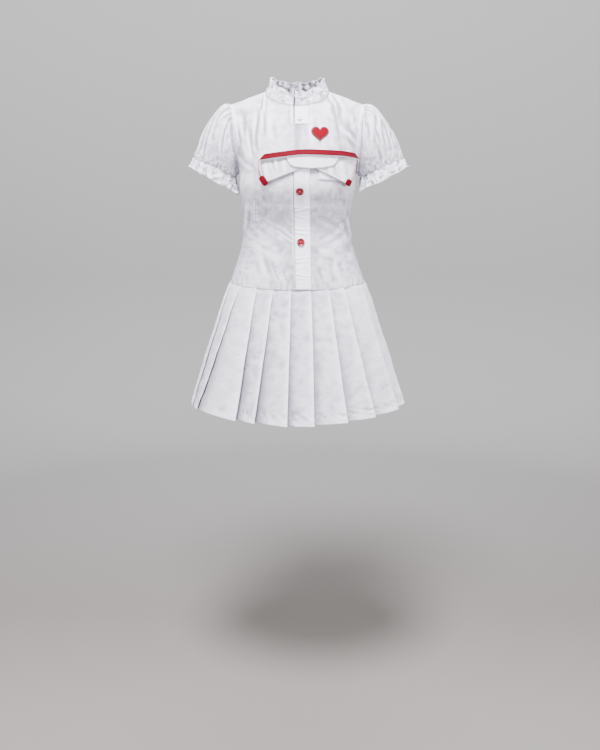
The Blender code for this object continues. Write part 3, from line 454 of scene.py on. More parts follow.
class RuffleSettings(bpy.types.PropertyGroup):
    """The gathered cloth of the collar and the sleeves."""

    collar_waves: a_count("Collar waves", "Waves round the collar's ruffle", 20, 4, 60)
    collar_crush: a_length("Collar crush", "Depth of the uneven crushing of the collar's ruffle", 0.0040, 0, 0.01)
    frill_waves: a_count("Frill waves", "Waves round the frill of each sleeve", 15, 4, 60)
    frill_crush: a_length("Frill crush", "Depth of the uneven crushing of the frills", 0.0030, 0, 0.01)
    gathers: a_count("Elastic gathers", "Small gathers round the elastic of each sleeve", 38, 8, 90)
    gather_height: a_length("Gather height", "Height of the gathers beside the elastic", 0.0008, 0, 0.01)


class StitchSettings(bpy.types.PropertyGroup):
    """The sewing thread."""

    pitch: a_length("Stitch pitch", "Distance from one stitch to the next", 0.0032, 0.001, 0.01)
    width: a_length("Thread width", "Width of a stitch", 0.00050, 0.0001, 0.002)


class TrimSettings(bpy.types.PropertyGroup):
    """The red trim and the buttons."""

    ribbon: a_colour("Ribbon", "Colour of the red ribbon", (0.155, 0.001, 0.010))
    patch: a_colour("Patch", "Colour of the red patch", (0.22, 0.0005, 0.011))
    button: a_colour("Button", "Colour of the red buttons", (0.19, 0.003, 0.014))


class StageSettings(bpy.types.PropertyGroup):
    """The cove and the lights."""

    backdrop: a_colour("Backdrop", "Colour of the cove", (0.352, 0.348, 0.335))
    key_power: a_power("Key light", "Power of the large soft light", 298.0)
    side_power: a_power("Side light", "Power of the light from the side", 72.0)
    sky: FloatProperty(
        name="Sky", description="Strength of the even light from all round", default=0.60, min=0, max=5
    )


# Small helpers


def read(rows, key, name, at):
    """The smooth value of one of a table's columns, at places along its key column."""
    rows = sorted(rows, key=lambda row: getattr(row, key))
    keys = np.array([getattr(row, key) for row in rows])
    values = np.array([getattr(row, name) for row in rows])
    slopes = np.gradient(values, keys)
    at = np.clip(np.asarray(at, dtype=float), keys[0], keys[-1])
    spot = np.clip(np.searchsorted(keys, at) - 1, 0, len(keys) - 2)
    span = keys[spot + 1] - keys[spot]
    u = (at - keys[spot]) / span
    start = values[spot] * (1 + 2 * u) * (1 - u) ** 2 + slopes[spot] * span * u * (1 - u) ** 2
    end = values[spot + 1] * u**2 * (3 - 2 * u) + slopes[spot + 1] * span * u**2 * (u - 1)
    return start + end


def mix(start, end, share):
    return start + (end - start) * share


def bell(away, width):
    return np.exp(-((away / width) ** 2))


def points(*parts):
    """One array of points from arrays of their parts, stretched to the same shape."""
    return np.stack(np.broadcast_arrays(*parts), axis=-1).astype(float)


def oval(turn, squareness):
    """Half of a rounded oval of unit size, as x and y: 2 is an ellipse, and more is squarer."""
    x = np.sin(turn * pi / 2)
    y = np.cos(turn * pi / 2)
    size = (np.abs(x) ** squareness + np.abs(y) ** squareness) ** (-1 / squareness)
    return x * size, y * size


def bezier(corners, share):
    """Points of cubic curves, from four arrays of corner points."""
    u = np.asarray(share)[..., None]
    first, second, third, last = corners
    return (1 - u) ** 3 * first + 3 * u * (1 - u) ** 2 * second + 3 * u**2 * (1 - u) * third + u**3 * last


def outward(grid, wrap=False):
    """The unit normals of a grid whose columns run round and whose rows run up."""
    if wrap:
        grid = np.concatenate((grid[:, -2:], grid, grid[:, :2]), axis=1)
    normal = np.cross(np.gradient(grid, axis=1), np.gradient(grid, axis=0))
    normal /= np.maximum(np.linalg.norm(normal, axis=-1, keepdims=True), 1e-12)
    return normal[:, 2:-2] if wrap else normal


def softened(field, passes, wrap=False):
    """A field of a grid with its sharp steps evened out."""
    for _ in range(passes):
        for axis in (0, 1):
            mode = "wrap" if wrap and axis == 1 else "edge"
            pad = [(1, 1) if place == axis else (0, 0) for place in range(field.ndim)]
            wide = np.pad(field, pad, mode=mode)
            field = (np.take(wide, range(0, wide.shape[axis] - 2), axis) + field * 2) / 4 + np.take(
                wide, range(2, wide.shape[axis]), axis
            ) / 4
    return field


def run_along(grid, axis):
    """Each point's distance from the first one along its row or column."""
    steps = np.linalg.norm(np.diff(grid, axis=axis), axis=-1)
    start = np.zeros_like(np.take(steps, [0], axis))
    return np.concatenate((start, np.cumsum(steps, axis)), axis)


def along(line, share):
    """Points at shares of the length of a line of points."""
    steps = np.linalg.norm(np.diff(line, axis=0), axis=1)
    run = np.concatenate(([0.0], np.cumsum(steps))) / steps.sum()
    return np.stack([np.interp(share, run, line[:, axis]) for axis in range(3)], axis=-1)


def spaced(start, end, count, spots, width, gain):
    """Places from start to end, packed closer round some spots."""
    dense = np.linspace(start, end, 4001)
    crowd = np.ones_like(dense)
    for spot in spots:
        crowd += gain * bell(dense - spot, width)
    run = np.concatenate(([0.0], np.cumsum((crowd[1:] + crowd[:-1]) / 2)))
    return np.interp(np.linspace(0, run[-1], count + 1), run, dense)


def speckle(grid, size, seed, octaves=2):
    """Soft noise at each point, of a size in metres, from about -1 to 1."""
    shift = Vector((seed * 7.31, seed * 3.17, seed * 11.9))
    flat = grid.reshape(-1, 3) / size
    values = [noise.fractal(Vector(point) + shift, 0.8, 2.1, octaves) for point in flat]
    return np.array(values).reshape(grid.shape[:-1])


def crinkled(grid, size, seed):
    """Soft noise with thin ridges, as in cloth that was folded and worn."""
    ridges = 0.5 - 2.2 * np.abs(speckle(grid, size * 1.9, seed + 5, 2))
    return 0.55 * speckle(grid, size, seed) + 0.6 * ridges


def slow_wave(phase, count, seed):
    """A wave round a ring whose folds differ in width and height."""
    wobble = 0.9 * np.sin(2 * phase + seed) + 0.6 * np.sin(5 * phase + 2.3 * seed)
    wobble += 0.35 * np.sin(9 * phase + seed * 4.1)
    swell = 0.75 + 0.3 * np.sin(4 * phase + 1.7 * seed) + 0.25 * np.sin(7 * phase + 0.6 * seed)
    return np.cos(count * phase + wobble) * swell


def ridge(aside, width):
    """The height across a crease, with a shallow trough on both sides."""
    reach = np.abs(aside) / width
    return np.exp(-(reach**2)) - 0.32 * bell(reach - 1.9, 0.85)


def crease_lift(x, z, creases):
    """How far creases lift the places of a panel seen from the front."""
    lift = np.zeros(np.shape(x))
    for crease in creases:
        run = np.array((crease.x_end - crease.x, crease.z_end - crease.z))
        length = np.hypot(*run)
        share = ((x - crease.x) * run[0] + (z - crease.z) * run[1]) / length**2
        aside = ((x - crease.x) * run[1] - (z - crease.z) * run[0]) / length
        inside = np.clip(share, 0, 1)
        aside = aside - crease.bow * 4 * inside * (1 - inside)
        beyond = np.abs(share - inside) * length
        taper = (0.25 + 0.75 * np.sin(pi * inside) ** 0.7) * bell(beyond, crease.width * 1.6)
        lift += crease.height * taper * ridge(aside, crease.width)
    return lift


# Meshes


def grid_faces(rows, columns, wrap):
    row, column = np.meshgrid(np.arange(rows - 1), np.arange(columns if wrap else columns - 1), indexing="ij")
    here = row * columns + column
    after = row * columns + (column + 1) % columns
    return np.stack((here, after, after + columns, here + columns), axis=-1).reshape(-1, 4)


def cloth_map(grid, wrap):
    """Each point's place on the flat cloth in metres, along the middle row and up each column."""
    middle = run_along(grid, 1)[len(grid) // 2]
    return points(middle[None, :], run_along(grid, 0))


def relief(grid, wrap=False, depth=PANEL_DEPTH):
    """Painted shading for the cloth's colour, from how far each point stands out from the cloth round it: 0, painted
    shade, in a gully and 1, painted light, on a ridge.
    """
    rise = ((grid - softened(grid, depth.reach, wrap)) * outward(grid, wrap)).sum(axis=-1)
    return 0.5 + 0.5 * np.tanh((rise - depth.curve) / depth.height)


def sheet_mesh(name, grid, finish, wrap=False, painted_light_and_mottle=0.0, depth=PANEL_DEPTH):
    """An object of one sheet from a grid, with its cloth map and its painted crease shading, to which painted light and
    random mottle can be added; rows and columns stay with it.
    """
    rows, columns = grid.shape[:2]
    faces = grid_faces(rows, columns, wrap)
    made = mesh_object(name, grid.reshape(-1, 3), faces, cloth_map(grid, wrap).reshape(-1, 2), finish, rows, columns)
    add_attribute(made, "relief", "FLOAT", np.clip(relief(grid, wrap, depth) + painted_light_and_mottle, 0, 1).ravel())
    return made


def mesh_object(name, vertices, faces, places, finish, rows, columns):
    mesh = bpy.data.meshes.new(name)
    mesh.from_pydata(vertices.tolist(), [], [list(map(int, face)) for face in faces])
    chart = mesh.uv_layers.new(name="cloth")
    loops = np.zeros(len(mesh.loops), dtype=np.int64)
    mesh.loops.foreach_get("vertex_index", loops)
    chart.data.foreach_set("uv", places[loops].astype(np.float32).ravel())
    mesh.materials.append(finish)
    mesh.shade_smooth()
    made = bpy.data.objects.new(name, mesh)
    made["rows"], made["columns"] = rows, columns
    bpy.context.scene.collection.objects.link(made)
    return made


def grid_of(name):
    """The grid of points that a finished sheet was made from."""
    made = bpy.data.objects.get(name)
    if made is None:
        raise RuntimeError(f"{name} is made first")
    rows, columns = made["rows"], made["columns"]
    flat = np.zeros(len(made.data.vertices) * 3, dtype=np.float32)
    made.data.vertices.foreach_get("co", flat)
    return flat.reshape(-1, 3)[: rows * columns].reshape(rows, columns, 3).astype(float)


def facing(grid):
    """A search tree of a grid's faces."""
    rows, columns = grid.shape[:2]
    corners = [Vector(point) for point in grid.reshape(-1, 3)]
    return BVHTree.FromPolygons(corners, grid_faces(rows, columns, False).tolist())


def baked(made, modifier_name):
    """The object with one modifier's result made its plain mesh."""
    depsgraph = bpy.context.evaluated_depsgraph_get()
    result = bpy.data.meshes.new_from_object(made.evaluated_get(depsgraph), depsgraph=depsgraph)
    made.modifiers.remove(made.modifiers[modifier_name])
    old = made.data
    made.data = result
    result.name = made.name
    bpy.data.meshes.remove(old)
    return made


# Node trees


def node(tree, kind, inputs=None, **settings):
    """The outputs of a new node, whose inputs are sockets to link or values to set."""
    made = tree.nodes.new(kind)
    for name, value in settings.items():
        setattr(made, name, value)
    feed(tree, made, inputs or {})
    return made.outputs


def feed(tree, made, inputs):
    for label, value in inputs.items():
        if isinstance(value, bpy.types.NodeSocket):
            tree.links.new(value, made.inputs[label])
        else:
            made.inputs[label].default_value = value


def calculate(tree, operation, *values):
    """A math node on values, each a socket or a number."""
    return node(tree, "ShaderNodeMath", dict(enumerate(values)), operation=operation)[0]


def new_tree(name, kind, inputs, outputs, fill):
    """A node tree with named sockets, made once: fill gives the outputs' values from the inputs' sockets."""
    found = bpy.data.node_groups.get(name)
    if found:
        return found
    tree = bpy.data.node_groups.new(name, kind)
    for direction, sockets in (("INPUT", inputs), ("OUTPUT", outputs)):
        for label, (socket_kind, default) in sockets.items():
            socket = tree.interface.new_socket(name=label, in_out=direction, socket_type="NodeSocket" + socket_kind)
            if default is not None:
                socket.default_value = default
    given = tree.nodes.new("NodeGroupInput").outputs
    feed(tree, tree.nodes.new("NodeGroupOutput"), fill(tree, given))
    return tree


def named_attribute(tree, name, data_type="FLOAT"):
    return node(tree, "GeometryNodeInputNamedAttribute", {"Name": name}, data_type=data_type)["Attribute"]


def lay_stitches(tree, given):
    curve = node(tree, "GeometryNodeMeshToCurve", {"Mesh": given["Lines"]})[0]
    curve = node(tree, "GeometryNodeResampleCurve", {"Curve": curve, "Length": given["Pitch"]}, mode="LENGTH")[0]
    out = named_attribute(tree, "out", "FLOAT_VECTOR")
    axes = {"Primary Axis": out, "Secondary Axis": node(tree, "GeometryNodeInputTangent")[0]}
    turn = node(tree, "FunctionNodeAxesToRotation", axes, primary_axis="Z", secondary_axis="X")[0]
    stitch = node(tree, "GeometryNodeMeshIcoSphere", {"Radius": 0.5, "Subdivisions": 1})[0]
    chance = node(tree, "FunctionNodeRandomValue", {2: 0.86, 3: 1.08, "Seed": given["Seed"]}, data_type="FLOAT")[1]
    length = calculate(tree, "MULTIPLY", given["Length"], chance)
    size = node(tree, "ShaderNodeCombineXYZ", {"X": length, "Y": given["Width"], "Z": given["Height"]})[0]
    spots = {"Points": curve, "Instance": stitch, "Rotation": turn, "Scale": size}
    laid = node(tree, "GeometryNodeInstanceOnPoints", spots)[0]
    real = node(tree, "GeometryNodeRealizeInstances", {"Geometry": laid})[0]
    smooth = node(tree, "GeometryNodeSetShadeSmooth", {"Geometry": real})[0]
    return {"Stitches": node(tree, "GeometryNodeSetMaterial", {"Geometry": smooth, "Material": given["Thread"]})[0]}


def stitch_tree():
    """Lays small round-ended stitches along lines, square to the cloth."""
    inputs = {
        "Lines": ("Geometry", None),
        "Pitch": ("Float", 0.0032),
        "Length": ("Float", 0.0023),
        "Width": ("Float", 0.0005),
        "Height": ("Float", 0.0004),
        "Seed": ("Int", 3),
        "Thread": ("Material", None),
    }
    return new_tree("Stitch row", "GeometryNodeTree", inputs, {"Stitches": ("Geometry", None)}, lay_stitches)


def wave_cloth(tree, given):
    sums = partial(calculate, tree)
    phase, depth, crush, lift = (named_attribute(tree, name) for name in ("phase", "depth", "crush", "lift"))
    swell = sums("MULTIPLY_ADD", sums("SINE", sums("MULTIPLY_ADD", phase, 3.0, 1.0)), 0.25, 0.8)
    wave = sums("COSINE", sums("MULTIPLY", phase, given["Waves"]))
    swing = sums("MULTIPLY", sums("MULTIPLY", wave, swell), depth)
    size = sums("DIVIDE", 1.0, given["Crush size"])
    crumple = {"Vector": node(tree, "GeometryNodeInputPosition")[0], "W": given["Seed"]}
    fine, sharp = (
        node(
            tree,
            "ShaderNodeTexNoise",
            {**crumple, "Scale": sums("MULTIPLY", size, share), "Detail": detail},
            noise_dimensions="4D",
        )[0]
        for share, detail in ((1.0, 1.0), (0.6, 2.0))
    )
    smooth = sums("MULTIPLY_ADD", fine, 3.2, -1.6)
    ridges = sums("MULTIPLY_ADD", sums("ABSOLUTE", sums("MULTIPLY_ADD", sharp, 7.0, -3.5)), -1.0, 0.6)
    crushed = sums("MULTIPLY", sums("MULTIPLY", sums("ADD", smooth, ridges), given["Crush"]), crush)
    half_phase = sums("MULTIPLY", phase, sums("MULTIPLY", given["Waves"], 0.5))
    rise = sums("MULTIPLY", sums("SINE", sums("ADD", half_phase, 0.7)), lift)
    rise = node(tree, "ShaderNodeCombineXYZ", {"Z": sums("MULTIPLY_ADD", crushed, 0.45, rise)})[0]
    away = {0: named_attribute(tree, "away", "FLOAT_VECTOR"), "Scale": sums("ADD", swing, crushed)}
    reach = node(tree, "ShaderNodeVectorMath", away, operation="SCALE")[0]
    shift = node(tree, "ShaderNodeVectorMath", {0: reach, 1: rise}, operation="ADD")[0]
    moved = node(tree, "GeometryNodeSetPosition", {"Geometry": given["Cloth"], "Offset": shift})[0]
    real = node(tree, "GeometryNodeRealizeInstances", {"Geometry": moved})[0]
    return {"Ruffled": node(tree, "GeometryNodeSetMaterial", {"Geometry": real, "Material": given["Cotton"]})[0]}


def ruffle_tree():
    """Waves a smooth sheet outwards: phase runs round it, and depth and lift are its own."""
    inputs = {
        "Cloth": ("Geometry", None),
        "Waves": ("Int", 15),
        "Crush": ("Float", 0.0018),
        "Crush size": ("Float", 0.010),
        "Seed": ("Float", 1.0),
        "Cotton": ("Material", None),
    }
    return new_tree("Ruffle", "GeometryNodeTree", inputs, {"Ruffled": ("Geometry", None)}, wave_cloth)


def worked(made, tree, values):
    """Runs a tree on an object with named input values, and keeps the result as its mesh."""
    modifier = made.modifiers.new(tree.name, "NODES")
    modifier.node_group = tree
    sockets = {item.name: item.identifier for item in tree.interface.items_tree if item.in_out == "INPUT"}
    for label, value in values.items():
        modifier[sockets[label]] = value
    made.data.update()
    return baked(made, modifier.name)


def add_attribute(made, name, data_type, values):
    layer = made.data.attributes.new(name, data_type, "POINT")
    key = "vector" if data_type == "FLOAT_VECTOR" else "value"
    layer.data.foreach_set(key, np.asarray(values, dtype=np.float32).ravel())


# Materials


def weave_threads(tree, given):
    sums = partial(calculate, tree)
    turns = sums("DIVIDE", pi, given["Thread"])
    way = node(tree, "ShaderNodeSeparateXYZ", {0: given["Place"]})
    warp, weft = (sums("SINE", sums("MULTIPLY", way[axis], turns)) for axis in "XY")
    threads = sums("ADD", sums("ABSOLUTE", warp), sums("ABSOLUTE", weft))
    height = sums("MULTIPLY_ADD", sums("MULTIPLY", warp, weft), 0.35, sums("MULTIPLY", threads, 0.32))
    slubs = node(tree, "ShaderNodeVectorMath", {0: given["Place"], 1: (420.0, 2600.0, 1.0)}, operation="MULTIPLY")[0]
    return {"Height": height, "Tone": sums("MULTIPLY", clouds(tree, slubs, 1.0), given["Slub"])}


def weave(tree, place, thread):
    """Plain weave on a cloth map in metres: the height of its threads and their uneven tone."""
    inputs = {"Place": ("Vector", None), "Thread": ("Float", 0.00045), "Slub": ("Float", 0.5)}
    outputs = {"Height": ("Float", None), "Tone": ("Float", None)}
    group = new_tree("Plain weave", "ShaderNodeTree", inputs, outputs, weave_threads)
    return node_group(tree, group, {"Place": place, "Thread": thread})


def wrinkle_cloth(tree, given):
    sums = partial(calculate, tree)
    scale = sums("DIVIDE", 1.0, given["Size"])
    first, second, third = (
        clouds(tree, given["Place"], sums("MULTIPLY", scale, share), detail, spread)
        for share, detail, spread in ((1.0, 3.0, 0.4), (2.7, 2.0, 0.8), (0.22, 2.0, 0.0))
    )
    first, second = (sums("ABSOLUTE", sums("MULTIPLY_ADD", layer, 2.0, -1.0)) for layer in (first, second))
    height = sums("MULTIPLY_ADD", second, -0.4, sums("MULTIPLY", first, -1.0))
    patchy = sums("MINIMUM", sums("MAXIMUM", sums("MULTIPLY_ADD", third, 2.4, -0.5), 0.15), 1.0)
    height = sums("MULTIPLY", height, patchy)
    dip_shade = sums("MINIMUM", sums("MAXIMUM", sums("MULTIPLY_ADD", height, 0.9, 1.0), 0.0), 1.0)
    return {"Height": height, "Dips": dip_shade}


def crinkle(tree, place):
    """Fine crinkle of worn cotton: the height of its wrinkles, and a mask for painted shade in its dips."""
    inputs = {"Place": ("Vector", None), "Size": ("Float", 0.012)}
    outputs = {"Height": ("Float", None), "Dips": ("Float", None)}
    group = new_tree("Fine crinkle", "ShaderNodeTree", inputs, outputs, wrinkle_cloth)
    return node_group(tree, group, {"Place": place})


def node_group(tree, group, inputs):
    made = tree.nodes.new("ShaderNodeGroup")
    made.node_tree = group
    feed(tree, made, inputs)
    return made.outputs


def clouds(tree, place, scale, detail=2.0, spread=0.0):
    inputs = {"Vector": place, "Scale": scale, "Detail": detail, "Distortion": spread}
    return node(tree, "ShaderNodeTexNoise", inputs)[0]


def cloth_place(tree):
    return node(tree, "ShaderNodeUVMap", uv_map="cloth")["UV"]


def object_place(tree):
    return node(tree, "ShaderNodeTexCoord")["Object"]


def blend(tree, dark, light, share):
    """A colour between two others, each a socket or three channels."""
    dark, light = (end if isinstance(end, bpy.types.NodeSocket) else (*end, 1) for end in (dark, light))
    return node(tree, "ShaderNodeMix", {"A": dark, "B": light, "Factor": share}, data_type="RGBA")["Result"]


def bump(tree, height, strength, distance, **normal):
    inputs = {"Strength": strength, "Distance": distance, "Height": height, **normal}
    return node(tree, "ShaderNodeBump", inputs)["Normal"]


def darker(colour, share):
    return tuple(channel * share for channel in colour)


def new_material(name, fill, looks):
    """A material made once: fill gives its shader's linked inputs, and looks are numbers of its own."""
    found = bpy.data.materials.get(name)
    if found:
        return found
    made = bpy.data.materials.new(name)
    made.use_nodes = True
    tree = made.node_tree
    feed(tree, tree.nodes["Principled BSDF"], {**fill(tree), **looks})
    return made


def cotton_material():
    """Matt white cotton: plain weave and fine crinkle; its colour runs from a cooler painted shade to its lit colour by
    the painted shading, the crinkle's dips and the weave's tone.
    """
    settings = bpy.context.scene.dress_cotton

    def fill(tree):
        sums = partial(calculate, tree)
        threads = weave(tree, cloth_place(tree), settings.thread)
        wrinkles = crinkle(tree, object_place(tree))
        painted_shading = node(tree, "ShaderNodeAttribute", attribute_name="relief")["Fac"]
        # Painted shade in gullies and in the crinkle's dips, painted light on ridges
        share = sums("MULTIPLY_ADD", painted_shading, 0.68, sums("MULTIPLY", wrinkles["Dips"], 0.24))
        share = sums("MINIMUM", sums("MULTIPLY_ADD", threads["Tone"], 0.12, share), 1.0)
        soft = bump(tree, wrinkles["Height"], 0.75, CRINKLE_BUMP)
        return {
            "Base Color": blend(tree, settings.shade, settings.colour, share),
            "Roughness": sums("MULTIPLY_ADD", threads["Tone"], 0.14, 0.80),
            "Normal": bump(tree, threads["Height"], 0.6, WEAVE_BUMP, Normal=soft),
        }

    looks = {"Sheen Weight": 0.12, "Sheen Roughness": 0.45, "Specular IOR Level": 0.25}
    return new_material("White cotton", fill, looks)


def ribbon_material():
    """Red ribbon with ribs across it and a soft sheen."""
    red = bpy.context.scene.dress_trim.ribbon

    def fill(tree):
        sums = partial(calculate, tree)
        chart = cloth_place(tree)
        way = node(tree, "ShaderNodeSeparateXYZ", {0: chart})["X"]
        ribs = sums("SINE", sums("MULTIPLY", way, 2 * pi / RIB_PITCH))
        threads = weave(tree, chart, 0.0003)
        height = sums("MULTIPLY_ADD", threads["Height"], 0.3, ribs)
        tone = sums("MULTIPLY_ADD", ribs, 0.3, sums("MULTIPLY_ADD", threads["Tone"], 0.5, 0.5))
        return {
            "Base Color": blend(tree, darker(red, 0.62), red, tone),
            "Roughness": sums("MULTIPLY_ADD", ribs, -0.06, 0.52),
            "Normal": bump(tree, height, 0.7, 0.00015),
        }

    return new_material("Red ribbon", fill, {"Specular IOR Level": 0.05})


def patch_material():
    """Red cloth of the patch, a close weave."""
    red = bpy.context.scene.dress_trim.patch

    def fill(tree):
        sums = partial(calculate, tree)
        spot = node(tree, "ShaderNodeSeparateXYZ", {0: object_place(tree)})
        flat = node(tree, "ShaderNodeCombineXYZ", {"X": spot["X"], "Y": spot["Z"]})[0]
        threads = weave(tree, flat, 0.0005)
        tone = sums("MULTIPLY_ADD", threads["Height"], 0.5, threads["Tone"])
        return {
            "Base Color": blend(tree, darker(red, 0.7), red, tone),
            "Roughness": sums("MULTIPLY_ADD", threads["Tone"], 0.2, 0.62),
            "Normal": bump(tree, threads["Height"], 0.6, 0.0002),
        }

    return new_material("Red patch cloth", fill, {"Specular IOR Level": 0.03})


def clouded(name, colour, dark, scale, detail, rough, looks):
    """A material with darker clouds in it, which are also smoother."""

    def fill(tree):
        cloud = clouds(tree, object_place(tree), scale, detail)
        tone = blend(tree, darker(colour, dark), colour, cloud)
        return {"Base Color": tone, "Roughness": calculate(tree, "MULTIPLY_ADD", cloud, *rough)}

    return new_material(name, fill, looks)


def thread_material(name, colour):
    """Twisted sewing thread."""
    return clouded(name, colour, 0.8, 1800.0, 2.0, (0.2, 0.5), {"Sheen Weight": 0.15})


def button_material(name, colour):
    """Moulded plastic with a satin gloss and faint clouding."""
    return clouded(name, colour, 0.85, 260.0, 3.0, (0.14, 0.20), {"Coat Weight": 0.08, "Coat Roughness": 0.30})


def cove_material():
    """Pale paper, a touch warmer on the floor."""
    wall = bpy.context.scene.dress_stage.backdrop

    def fill(tree):
        # the wall's grey, then the warm darker strip where it meets the floor, then the warm pale floor
        shades = ((0.61, 0.575, 0.545), (1.0, 1.0, 1.0), (0.72, 0.68, 0.64))
        first, second, third = (tuple(map(mul, wall, shade)) for shade in shades)
        sums = partial(calculate, tree)
        spot = object_place(tree)
        inward = node(tree, "ShaderNodeSeparateXYZ", {0: spot})["Y"]
        paper = blend(tree, first, second, sums("MULTIPLY_ADD", inward, 0.55, -0.253))
        paper = blend(tree, paper, third, sums("MULTIPLY_ADD", inward, -2.0, 0.80))
        return {"Base Color": paper, "Roughness": sums("MULTIPLY_ADD", clouds(tree, spot, 0.9), 0.1, 0.85)}

    return new_material("Cove paper", fill, {"Specular IOR Level": 0.1})


def white_thread():
    return thread_material("White thread", (0.86, 0.855, 0.89))


def pink_thread():
    return thread_material("Light red thread", (0.50, 0.03, 0.06))


def red_thread():
    return thread_material("Red thread", tuple(bpy.context.scene.dress_trim.ribbon))


# Stitches


def grid_line(grid, rows, columns, wrap=False):
    """Points and outward normals at fractional rows and columns of a grid."""
    normal = outward(grid, wrap)
    count = grid.shape[1]
    rows = np.clip(rows, 0, grid.shape[0] - 1)
    low = np.minimum(np.floor(rows).astype(int), grid.shape[0] - 2)
    if not wrap:
        columns = np.clip(columns, 0, count - 1)
        first = np.minimum(np.floor(columns).astype(int), count - 2)
    else:
        first = np.floor(columns).astype(int)
    up, across = (rows - low)[:, None], (columns - first)[:, None]
    sampled = []
    for field in (grid, normal):
        foot = mix(field[low, first % count], field[low, (first + 1) % count], across)
        head = mix(field[low + 1, first % count], field[low + 1, (first + 1) % count], across)
        sampled.append(mix(foot, head, up))
    return sampled


def row_at(grid, distance, from_top=False):
    """For each column, the fractional row at a distance from the foot or the top."""
    run = run_along(grid, 0)
    goal = run[-1] - distance if from_top else np.full(grid.shape[1], distance)
    rows = np.arange(grid.shape[0])
    return np.array([np.interp(goal[column], run[:, column], rows) for column in range(grid.shape[1])])


def column_at(grid, distance, from_end=False):
    """For each row, the fractional column at a distance from the first or the last one."""
    return row_at(np.swapaxes(grid, 0, 1), distance, from_end)


def edge_shade(grid):
    """Painted shadow along a free lower edge of the cloth."""
    return -EDGE_SHADE * bell(run_along(grid, 0), EDGE_WIDTH)


def row_line(grid, distance, from_top=False, span=(0.0, 1.0), wrap=False):
    """A line at a distance from the foot or top edge, over a span of the columns."""
    rows = row_at(grid, distance, from_top)
    last = grid.shape[1] - 1
    columns = np.linspace(span[0] * last, span[1] * last, max(int(last * (span[1] - span[0])), 2))
    return grid_line(grid, np.interp(columns, np.arange(last + 1), rows), columns, wrap)


def column_line(grid, distance, from_end=False, span=(0.0, 1.0)):
    """A line at a distance from the first or last column, over a span of the rows."""
    columns = column_at(grid, distance, from_end)
    last = grid.shape[0] - 1
    rows = np.linspace(span[0] * last, span[1] * last, max(int(last * (span[1] - span[0])), 2))
    return grid_line(grid, rows, np.interp(rows, np.arange(last + 1), columns))


def stitch_rows(name, lines, thread, length=None, width=None, pitch=None, lift=0.00012):
    """Rows of stitches along lines of points and normals, as one object."""
    settings = bpy.context.scene.dress_stitches
    vertices, edges, outs = [], [], []
    for place, normal in lines:
        first = len(vertices)
        vertices.extend((place + normal * lift).tolist())
        outs.extend(normal.tolist())
        edges.extend((index, index + 1) for index in range(first, len(vertices) - 1))
    mesh = bpy.data.meshes.new(name)
    mesh.from_pydata(vertices, edges, [])
    made = bpy.data.objects.new(name, mesh)
    bpy.context.scene.collection.objects.link(made)
    add_attribute(made, "out", "FLOAT_VECTOR", outs)
    pitch = pitch or settings.pitch
    values = {
        "Pitch": pitch,
        "Length": length or pitch * 0.72,
        "Width": width or settings.width,
        "Height": (width or settings.width) * 0.8,
        "Seed": 3,
        "Thread": thread,
    }
    made = worked(made, stitch_tree(), values)
    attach(made, "root")
    return made


# Bodice


def torso_point(turn, height, side):
    """A point of the torso's section: turn runs from -1, the right side, to 1, the left side."""
    half_width = read(TORSO, "height", "half_width", height)
    depth = read(TORSO, "height", "front" if side < 0 else "back", height)
    x, y = oval(turn, SQUARENESS)
    return points(half_width * x, side * depth * y, height)


def seam_height(x):
    """The waist seam lies lowest in the middle."""
    return SEAM_SIDE - SEAM_DIP * (1 - (x / HIP_HALF) ** 2)


def top_edge(turn, side):
    """The neckline, and past it the shoulder seam."""
    reach = np.abs(turn)
    swing = np.minimum(reach / NECK_SHARE, 1) * pi / 2
    past = np.clip((reach - NECK_SHARE) / (1 - NECK_SHARE), 0, 1)
    x = NECK_HALF * np.sin(swing) + past * (SHOULDER_TIP[0] - NECK_HALF)
    y = side * (NECK_DEPTH[side] * np.cos(swing) + SHOULDER_HALF_GAP * np.sin(swing) ** 8)
    z = -NECK_DROP[side] * np.cos(swing) + past * SHOULDER_TIP[2]
    return points(np.sign(turn) * x, y, z)


def handle(turn, side, end):
    table = COLUMNS[side]
    reach = np.abs(turn)
    sideways = np.sign(turn) * read(table, "reach", end + "_side", reach)
    out = side * read(table, "reach", end + "_out", reach)
    return points(sideways, out, read(table, "reach", end + "_up", reach))


def panel_surface(turn, level, side):
    """A panel's smooth form: level is 0 at the waist seam, 1 at the chest line and 2 at the top."""
    turn, level = np.broadcast_arrays(turn, level)
    foot = seam_height(torso_point(turn, np.full(turn.shape, SEAM_SIDE), side)[..., 0])
    low = torso_point(turn, mix(foot, CHEST, np.clip(level, 0, 1)), side)
    head = top_edge(turn, side)
    corners = (low, low + handle(turn, side, "foot"), head + handle(turn, side, "head"), head)
    high = bezier(corners, np.clip(level - 1, 0, 1))
    grid = np.where((level > 1)[..., None], high, low)
    grid[..., 1] += side * PANEL_HALF_GAP
    return grid


def bend(grid, folds):
    """Lifts a grid along its largest soft ridges, each fading at both ends."""
    lift = np.zeros(grid.shape[:2])
    for fold in folds:
        start = np.array((fold.x, fold.z))
        run = np.array((fold.x_end, fold.z_end)) - start
        length = np.linalg.norm(run)
        offset = grid[..., (0, 2)] - start
        share = offset @ run / length**2
        aside = (offset[..., 0] * run[1] - offset[..., 1] * run[0]) / length
        beyond = np.clip(np.abs(share - 0.5) - 0.5, 0, None) * length
        lift += fold.height * np.exp(-((aside / fold.width) ** 2) - (beyond / fold.width) ** 2)
    return grid + outward(grid) * lift[..., None]


def dart_turns(levels, side):
    """By row, the turn at which the panel meets its dart's line."""
    stops = sorted(DARTS[side])
    heights, places = [stop.z for stop in stops], [stop.x for stop in stops]
    turns = np.linspace(0, 1, 401)
    surface = panel_surface(turns[None, :], levels[:, None], side)
    off = surface[..., 0] - np.interp(surface[..., 2], heights, places)
    return np.array([np.interp(0.0, row, turns) for row in off])


